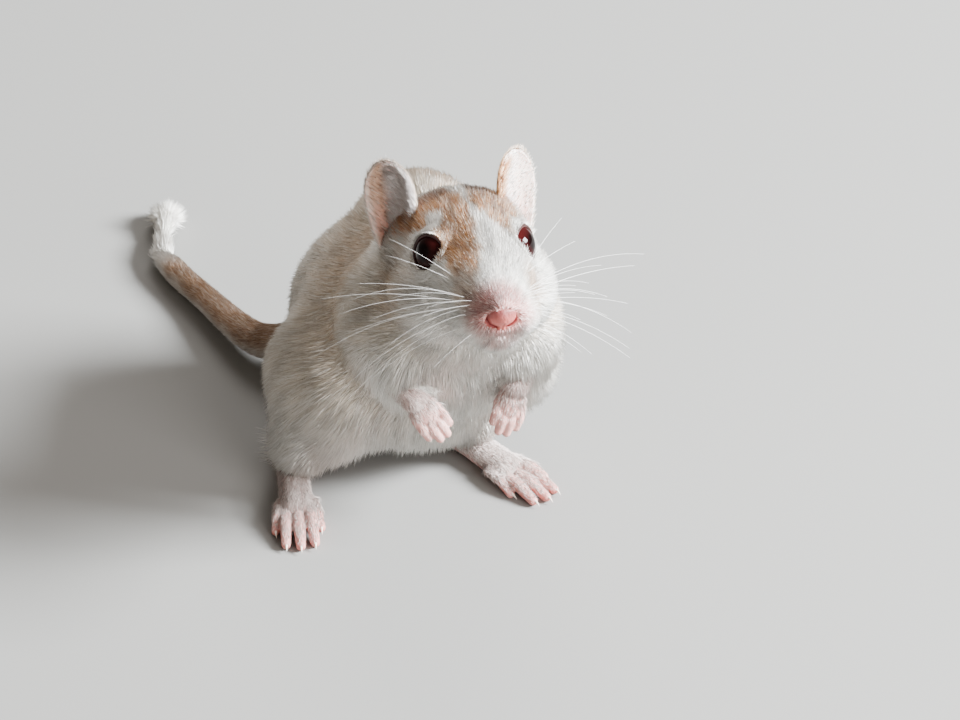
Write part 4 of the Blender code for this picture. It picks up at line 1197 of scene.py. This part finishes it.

# Ears: a thin curled cup of skin each, open forwards and out, with a rounded rim.
# Short ginger hair covers the back, and pale hair grows in streaks from the front rim over the pink inside.
# The back of the right ear's cup inside is tan, partly its own colour and partly painted shade.
EAR_BASE = (8.2, 9.0, 0.8)
EAR_TIP = (9.4, 11.2, 11.0)
EAR_SHIFT = -0.5
EAR_OPENING = (0.62, -0.78, 0.0)
EAR_HALF_WIDTH = 3.8
EAR_WALL = 0.5
EAR_CURLS = (160.0, 60.0)
EAR_ROOT_DEPTH = 2.2
EAR_ROOT_START = -0.15
EAR_LEAN = 0.6
EAR_WIDEST = 0.62
EAR_ROOT_WIDTH = 0.65
EAR_TIP_WIDTH = 0.10
EAR_TIP_POWER = 2.2
EAR_ROWS = 44
EAR_COLUMNS = 30
# Tan of the right ear's inner back wall: partly the ear's own colour, partly painted shade inside the cup
EAR_TAN_SHADE = (0.46, 0.28, 0.19)
EAR_PALE = (0.84, 0.66, 0.60)
EAR_STREAK = (0.98, 0.90, 0.87)
EAR_STREAK_HIDE = (0.93, 0.76, 0.72)


def ear_width(share):
    """Half width of the ear along its length: narrow at the root, widest past the middle."""
    if share < EAR_WIDEST:
        return EAR_ROOT_WIDTH + (1 - EAR_ROOT_WIDTH) * math.sin(math.pi / 2 * share / EAR_WIDEST)
    rest = (share - EAR_WIDEST) / (1 - EAR_WIDEST)
    return max(EAR_TIP_WIDTH, math.sqrt(max(0.0, 1 - rest ** EAR_TIP_POWER)))


def ear_axes(side):
    base = Vector((side * EAR_BASE[0] + EAR_SHIFT, *EAR_BASE[1:]))
    tip = Vector((side * EAR_TIP[0] + EAR_SHIFT, *EAR_TIP[1:]))
    axis = (tip - base).normalized()
    facing = Vector((side * EAR_OPENING[0], *EAR_OPENING[1:]))
    facing = (facing - axis * facing.dot(axis)).normalized()
    root = base - axis * EAR_ROOT_DEPTH
    return root, (tip - root).length, axis, facing, axis.cross(facing)


def ear_sheet(side):
    root, length, axis, facing, level = ear_axes(side)
    places = []
    for i in range(EAR_ROWS + 1):
        share = EAR_ROOT_START + (1 - EAR_ROOT_START) * math.sin(math.pi / 2 * i / EAR_ROWS) ** 0.9
        curl = math.radians(EAR_CURLS[0] + (EAR_CURLS[1] - EAR_CURLS[0]) * max(0.0, share))
        half = min(curl, math.pi) / 2
        radius = EAR_HALF_WIDTH * ear_width(share) / math.sin(half)
        for k in range(EAR_COLUMNS + 1):
            angle = curl * (k / EAR_COLUMNS - 0.5)
            back = radius * (math.cos(angle) - math.cos(half))
            place = root + axis * length * share - facing * (back - EAR_LEAN * (1 - share))
            places.append(from_head(place + level * radius * math.sin(angle)))
    return mesh_of("ear", places, grid_faces(EAR_COLUMNS + 1, EAR_ROWS + 1))


def short_plan(lie, length, width, lift, cover, coat, hide, bare=1.0):
    """The plan of a small part that grows only short hair."""
    zero = np.zeros(len(lie))
    return {
        "lie": lie, "length": length, "width": width, "lift": np.radians(zero + lift),
        "density": 2 * cover / (length * width), "coat": coat, "hide": hide,
        "bare": zero + bare, "long": zero, "order": zero,
    }


def ear_plan(side):
    root, reach, axis, facing, level = (np.array(part) for part in ear_axes(side))
    left = side > 0

    def planner(places, ups):
        points = to_head(places) - root
        out = ups @ turn_rows
        share = points @ axis / reach
        half = np.array([EAR_HALF_WIDTH * ear_width(value) for value in np.clip(share, 0, 1)])
        front = -side * (points @ level) / half
        inner = step(-0.1, 0.25, out @ facing)
        edge = step(0.72, 0.95, np.abs(front))
        tip = step(0.80, 0.97, share)
        lie = unit(evenly(axis, points) + level * (side * 0.9 * inner)[:, None] + facing * 0.2)
        lie = laid(lie @ turn_rows.T, ups)
        fine = 0.5 + 0.5 * soft_noise(places, 1.6, 31)
        hairy = step(-0.5, 0.15, front + 0.5 * (0.55 - share)) * (1 - 0.6 * tip)
        length = 1.0 + 0.5 * (1 - share) + inner * (0.8 * hairy - 0.2)
        width = np.full(len(points), 0.075)
        inner_cover = 2.6 * (0.25 if left else 1.0) * hairy * (0.5 + fine)
        cover = (2.6 - inner * (2.35 - inner_cover)) * step(0.02, 0.12, share)
        coat = mixed(evenly(WHITE, points), GINGER, (0.75 if left else 0.45) * (1 - inner) * (1 - 0.5 * edge))
        # Painted shade, partly the ear's own tan, on the right ear's inner back wall
        coat = mixed(coat, EAR_TAN_SHADE, (0.0 if left else 1.0) * inner * (1 - hairy) * (1 - edge))
        coat = mixed(coat, GINGER, (0.85 if left else 0.25) * step(0.15, 0.6, front) * (1 - tip))
        coat = mixed(coat, PINK, 0.10 * inner)
        coat = mixed(coat, EAR_STREAK, inner * hairy * (1 - step(0.1, 0.4, front) * left))
        # The hide's tan at the back of the cup: partly its own colour, partly painted shade, mostly on the
        # right ear
        tan = (1 - step(-0.5, 0.25, front)) * (1 - 0.6 * edge) * (0.2 if left else 1.0)
        hide = mixed(evenly(EAR_PALE, points), EAR_TAN_SHADE, tan)
        hide = mixed(hide, EAR_STREAK_HIDE, inner * hairy)
        hide = mixed(hide, GINGER, (0.75 if left else 0.0) * step(0.0, 0.6, front) * (1 - tip))
        hide = mixed(hide, PINK, 0.5 * inner * (1 - step(0.2, 0.75, share)) * (1 - edge))
        return short_plan(lie, length, width, 7.0 + 6.0 * inner * hairy, cover, coat, hide)

    return planner


ear_finish = hide_finish("ear_skin", roughness=0.5, bump=0.2, scale=1600.0, glow=0.35)
for name, side in SIDES.items():
    ear = add_object("ear_cup_" + name, ear_sheet(side))
    wall = ear.modifiers.new("wall", "SOLIDIFY")
    wall.thickness = EAR_WALL * MM
    wall.offset = 0
    rounding = ear.modifiers.new("rounding", "SUBSURF")
    rounding.levels = rounding.render_levels = 1
    applied(ear)
    face_outwards(ear.data)
    plan = plan_coat(ear, ear_plan(side))
    dress(ear.data, ear_finish)
    unwrap(ear)
    grow(ear, *share_out(ear, plan), "ear_hair_" + name, "ear_skin", SHORT_DISORDER)
    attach(ear, "root")
    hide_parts("ear_" + name)

# Hind feet: long soles with three long toes between two short ones, on the floor.
# Short white hair covers their tops, and the toes' sides and tips are bare and pink. Hair and hide are
# coloured darker than their own, as painted shade.
HIND_HEELS = {"right": ((-19.3, 13.4), 10.5), "left": ((2.4, 12.6), -25.5)}
SOLE = ((0.0, -0.5, 2.2), (0.0, 8.0, 2.0), (0.0, 15.5, 1.5))
SOLE_RADII = (2.3, 2.1, 2.3)
BALL_OF_FOOT = ((0.0, 14.8, 1.5), (2.9, 2.9, 1.7))
TOES = (
    # Root across and along, tip across and along, radius
    (2.4, 14.8, 3.35, 20.6, 0.80),
    (1.65, 15.8, 2.15, 24.0, 0.88),
    (0.0, 16.2, 0.1, 24.6, 0.88),
    (-1.65, 15.8, -1.95, 24.0, 0.88),
    (-2.35, 14.4, -3.1, 20.4, 0.80),
)
TOE_ROOT_LIFT = 0.75
TOE_KNUCKLE_LIFT = 0.75
TOE_TAPER = 0.78
PAW_VOXEL = 0.16
PAW_ROUNDS = 3
CLAW_STEPS = 6
CLAW_LENGTH = 1.0
CLAW_RADIUS = 0.24
CLAW_BEND = 0.45
CLAW_TAPER = 0.9
CLAW_SIDES = 8
CLAW_HORN = (0.88, 0.70, 0.60)
# Hair and hide of the feet, darkened as painted shade
FOOT_HAIR_PAINTED_SHADE = (0.66, 0.55, 0.51)
FOOT_HAIR_LIFT = 13
FOOT_SKIN_PAINTED_SHADE = (0.61, 0.39, 0.35)
TOE_PINK = (0.56, 0.22, 0.19)


def foot_turn(name):
    (x, y), splay = HIND_HEELS[name]
    return Matrix.Translation((x, y, 0)) @ Matrix.Rotation(math.radians(180 - splay), 4, "Z")


def claw_form(start, way, up, length, radius):
    """A pale curved nail from a tip onwards, bent down away from up."""
    points, radii = [], []
    for k in range(CLAW_STEPS):
        share = k / (CLAW_STEPS - 1)
        points.append((start + way * length * share - up * CLAW_BEND * length * share ** 2) * MM)
        radii.append(radius * (1 - CLAW_TAPER * share) * MM)
    return tube_form(points, radii, CLAW_SIDES)


def paw_planner(turn, plan):
    """A planner that gives its plan the places and ways out in the frame of a foot or hand."""
    inverse, turn = np.array(turn.inverted()), np.array(turn)[:3, :3]
    return lambda places, ups: plan(places @ inverse[:3, :3].T + inverse[:3, 3], ups @ turn, ups, turn)


def foot_plan(local, out, ups, turn):
    x, y, _ = local.T
    top = step(0.05, 0.75, out[:, 2])
    toes = step(15.5, 18.5, y)
    tip = step(21.5, 24.2, y + 3.6 * step(2.2, 3.0, np.abs(x)))
    lie = laid(evenly((0.0, 1.0, -0.15), local) @ turn.T, ups)
    length = 1.1 - 0.35 * toes - 0.2 * tip
    width = 0.085 - 0.015 * toes
    cover = 3.0 * step(-0.45, 0.35, out[:, 2]) * (1 - 0.75 * toes) * (1 - 0.9 * tip)
    cover *= 1 - 0.55 * toes * (1 - top)
    hide = mixed(evenly(FOOT_SKIN_PAINTED_SHADE, local), RED_PINK, 0.7 * toes * (1 - top))
    hide = mixed(hide, TOE_PINK, 0.5 * toes + 0.35 * tip)
    hide = mixed(hide, PINK, 0.25 * (1 - toes) * (1 - top))
    bare = np.clip(toes + (1 - top), 0, 1)
    return short_plan(lie, length, width, FOOT_HAIR_LIFT, cover, evenly(FOOT_HAIR_PAINTED_SHADE, local), hide, bare)


paw_finish = hide_finish("paw_skin", roughness=0.5, bump=0.3, scale=1800.0, glow=0.3)
claw_finish = hide_finish("claw_horn", roughness=0.3, bump=0.1, scale=2000.0, glow=0.2)


def finish_paw(paw, planner, node, claws):
    """Hair, finish and claws of a foot or hand."""
    plan = plan_coat(paw, planner)
    dress(paw.data, paw_finish)
    unwrap(paw)
    grow(paw, *share_out(paw, plan), node + "_hair", "paw_skin", SHORT_DISORDER)
    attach(paw, "root")
    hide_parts(node)
    mesh = forms_mesh(node + "_claws", claws)
    store(mesh, "hide", evenly(CLAW_HORN, mesh.vertices), "FLOAT_COLOR")
    dress(mesh, claw_finish)
    nails = add_object(node + "_claws", mesh)
    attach(nails, "root")


for name in SIDES:
    mirror = 1 if name == "right" else -1
    turn = foot_turn(name)
    ahead = turn.to_3x3() @ Vector((0, 1, -0.05))
    balls = chain(SOLE, SOLE_RADII) + [BALL_OF_FOOT]
    claws = []
    for root_x, root_y, tip_x, tip_y, radius in TOES:
        root = (mirror * root_x, root_y, radius + TOE_ROOT_LIFT)
        knuckle = (mirror * (root_x + tip_x) / 2, (root_y + tip_y) / 2, radius + TOE_KNUCKLE_LIFT)
        end = Vector((mirror * tip_x, tip_y - radius, radius * TOE_TAPER + 0.05))
        balls += chain((root, knuckle, end), (radius, radius, radius * TOE_TAPER))
        start = turn @ (end + Vector((0, radius * 0.4, 0.25))) + home
        claws.append(claw_form(start, ahead, Vector((0, 0, 1)), CLAW_LENGTH, CLAW_RADIUS))
    foot = add_object("foot_" + name, balls_mesh("foot_" + name, balls, turn))
    melt(foot, PAW_VOXEL)
    smooth(foot, PAW_ROUNDS)
    places = coordinates(foot.data)
    places[:, 2] = np.maximum(places[:, 2], 0)
    place_vertices(foot.data, places)
    finish_paw(foot, paw_planner(turn, foot_plan), "hind_foot_" + name, claws)

# Hands: small soft palms with four fingers each, held up before the chest.
# Pale hair lies over their backs, and the fingers are pink with redder gaps. Hair and palm skin are coloured
# darker than their own, as painted shade.
WRIST_RADII = (1.9, 1.75)
PALM = ((0.0, 2.0, 0.0), (2.15, 2.7, 1.45))
PALM_UP = (0.0, -1.0, 0.35)
FINGERS = (
    # Root across and along, tip across and along, radius
    (-1.65, 2.4, -1.75, 5.3, 0.74),
    (-0.58, 3.0, -0.62, 6.3, 0.76),
    (0.58, 3.0, 0.58, 6.3, 0.76),
    (1.65, 2.4, 1.70, 5.2, 0.74),
)
FINGER_BEND = 0.35
FINGER_CURL = 0.55
FINGER_TAPER = 0.82
HAND_VOXEL = 0.13
NAIL_LENGTH = 0.4
NAIL_RADIUS = 0.16
# Hair and skin of the hands, darkened as painted shade
HAND_HAIR_PAINTED_SHADE = (0.64, 0.50, 0.46)
HAND_HAIR_LIFT = 12
HAND_SKIN_PAINTED_SHADE = (0.62, 0.36, 0.31)
FINGER_PINK = (0.52, 0.27, 0.24)


def hand_turn(name):
    _, wrist, fingertips = (Vector(point) for point in ARMS[name])
    reach = (fingertips - wrist).normalized()
    across = reach.cross(Vector(PALM_UP)).normalized()
    hand = Matrix((across, reach, across.cross(reach))).transposed().to_4x4()
    return Matrix.Translation(wrist) @ hand


def hand_plan(local, out, ups, turn):
    y = local[:, 1]
    top = step(-0.1, 0.7, out[:, 2])
    fingers = step(3.4, 4.6, y)
    tip = step(5.2, 6.4, y)
    lie = laid(evenly((0.0, 1.0, 0.0), local) @ turn.T, ups)
    length = 1.15 - 0.45 * fingers
    width = 0.075 - 0.012 * fingers
    wrist = 1 - step(0.2, 2.6, y)
    cover = (0.3 + 2.6 * wrist) * (0.3 + 0.7 * top) * (1 - 0.7 * fingers) * (1 - 0.9 * tip)
    hide = mixed(evenly(HAND_SKIN_PAINTED_SHADE, local), RED_PINK, 0.7 * fingers * (1 - top))
    hide = mixed(hide, FINGER_PINK, 0.25 * tip + 0.65 * step(-1, 3, y))
    return short_plan(lie, length, width, HAND_HAIR_LIFT, cover, evenly(HAND_HAIR_PAINTED_SHADE, local), hide)


for name in SIDES:
    turn = hand_turn(name)
    elbow, wrist, _ = (Vector(point) for point in ARMS[name])
    ahead, rise = turn.to_3x3() @ Vector((0, 1, 0.1)), turn.to_3x3() @ Vector((0, 0, 1))
    balls = [PALM]
    claws = []
    for root_x, root_y, tip_x, tip_y, radius in FINGERS:
        bend = Vector(((root_x + tip_x) / 2, (root_y + tip_y) / 2, FINGER_BEND))
        end = Vector((tip_x, tip_y, -FINGER_CURL + 0.4))
        balls += chain(((root_x, root_y, 0), bend, end), (radius, radius, radius * FINGER_TAPER))
        start = turn @ (end + Vector((0, radius * 0.4, 0.1))) + home
        claws.append(claw_form(start, ahead, rise, NAIL_LENGTH, NAIL_RADIUS))
    back = turn.inverted()
    balls += chain((back @ wrist.lerp(elbow, 0.45), back @ wrist), WRIST_RADII)
    hand = add_object("hand_" + name, balls_mesh("hand_" + name, balls, turn))
    melt(hand, HAND_VOXEL)
    smooth(hand, PAW_ROUNDS)
    finish_paw(hand, paw_planner(turn, hand_plan), "forepaw_" + name, claws)

# Whiskers: long white hairs from both sides of the muzzle, and a few that cross over the eyes.
# They leave along the face, arch and droop a little towards their tips.
WHISKER_ROWS = 4
WHISKER_COLUMNS = 4
WHISKER_ROOT = (2.9, -13.6, -2.9)
WHISKER_LENGTHS = (9.0, 20.0)
WHISKER_RADII = (0.036, 0.010)
WHISKER_STEPS = 14
WHISKER_BURIED = 0.8
BROW_WHISKERS = (
    # Root, way and length, for the right side; the left mirrors them
    ((4.6, -9.4, -0.6), (0.62, 0.62, 0.52), 13.0),
    ((4.9, -8.8, -1.0), (0.75, 0.50, 0.44), 11.0),
)
WHISKER_SEED = 3
WHISKER_WHITE = (0.93, 0.91, 0.88)
WHISKER_TONE = 0.8


def whisker_form(root, way, length, sag, radius):
    """A whisker from a point of the head's frame: it bends down as it goes."""
    points = []
    for k in range(WHISKER_STEPS):
        share = k / (WHISKER_STEPS - 1)
        point = root + way * length * share + Vector((0, 0.05, -1)) * sag * length * share ** 2
        points.append(from_head(point))
    radii = np.linspace(radius, WHISKER_RADII[1], WHISKER_STEPS)
    radii[0] = WHISKER_RADII[1]
    return tube_form(points, radii * MM, 5)


whisker_finish = hair_finish("whisker_hair")
draw = random.Random(WHISKER_SEED)
for name, side in SIDES.items():
    starts = []
    for row in range(WHISKER_ROWS):
        for column in range(WHISKER_COLUMNS):
            root = Vector((
                side * (WHISKER_ROOT[0] + 0.42 * column), WHISKER_ROOT[1] + 1.15 * column + 0.3 * (row % 2),
                WHISKER_ROOT[2] - 0.95 * row,
            ))
            share = column / (WHISKER_COLUMNS - 1)
            way = Vector((side * 0.9, 0.22 + 0.25 * share, 0.30 - 0.20 * row))
            length = WHISKER_LENGTHS[0] + (WHISKER_LENGTHS[1] - WHISKER_LENGTHS[0]) * share
            starts.append((root, way, length * draw.uniform(0.8, 1.1), draw.uniform(0.16, 0.40)))
    for root, way, length in BROW_WHISKERS:
        root, way = Vector((side * root[0], *root[1:])), Vector((side * way[0], *way[1:]))
        starts.append((root, way, length, 0.12))
    forms = []
    for root, way, length, sag in starts:
        place, _, _, _ = skin_tree.find_nearest(from_head(root))
        root = head_turn.transposed() @ (place / MM - head_origin)
        way = (way + Vector([draw.gauss(0, 0.05) for _ in range(3)])).normalized()
        root -= way * WHISKER_BURIED
        forms.append(whisker_form(root, way, length, sag, WHISKER_RADII[0] * draw.uniform(0.7, 1.0)))
    mesh = forms_mesh("whiskers_" + name, forms)
    store(mesh, "coat", evenly(WHISKER_WHITE, mesh.vertices), "FLOAT_COLOR")
    for name_of_share in ("tone", "along"):
        store(mesh, name_of_share, np.full(len(mesh.vertices), WHISKER_TONE))
    dress(mesh, whisker_finish)
    whiskers = add_object("whiskers_" + name, mesh)
    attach(whiskers, "root")

for form in (spike, lock):
    bpy.data.objects.remove(form)
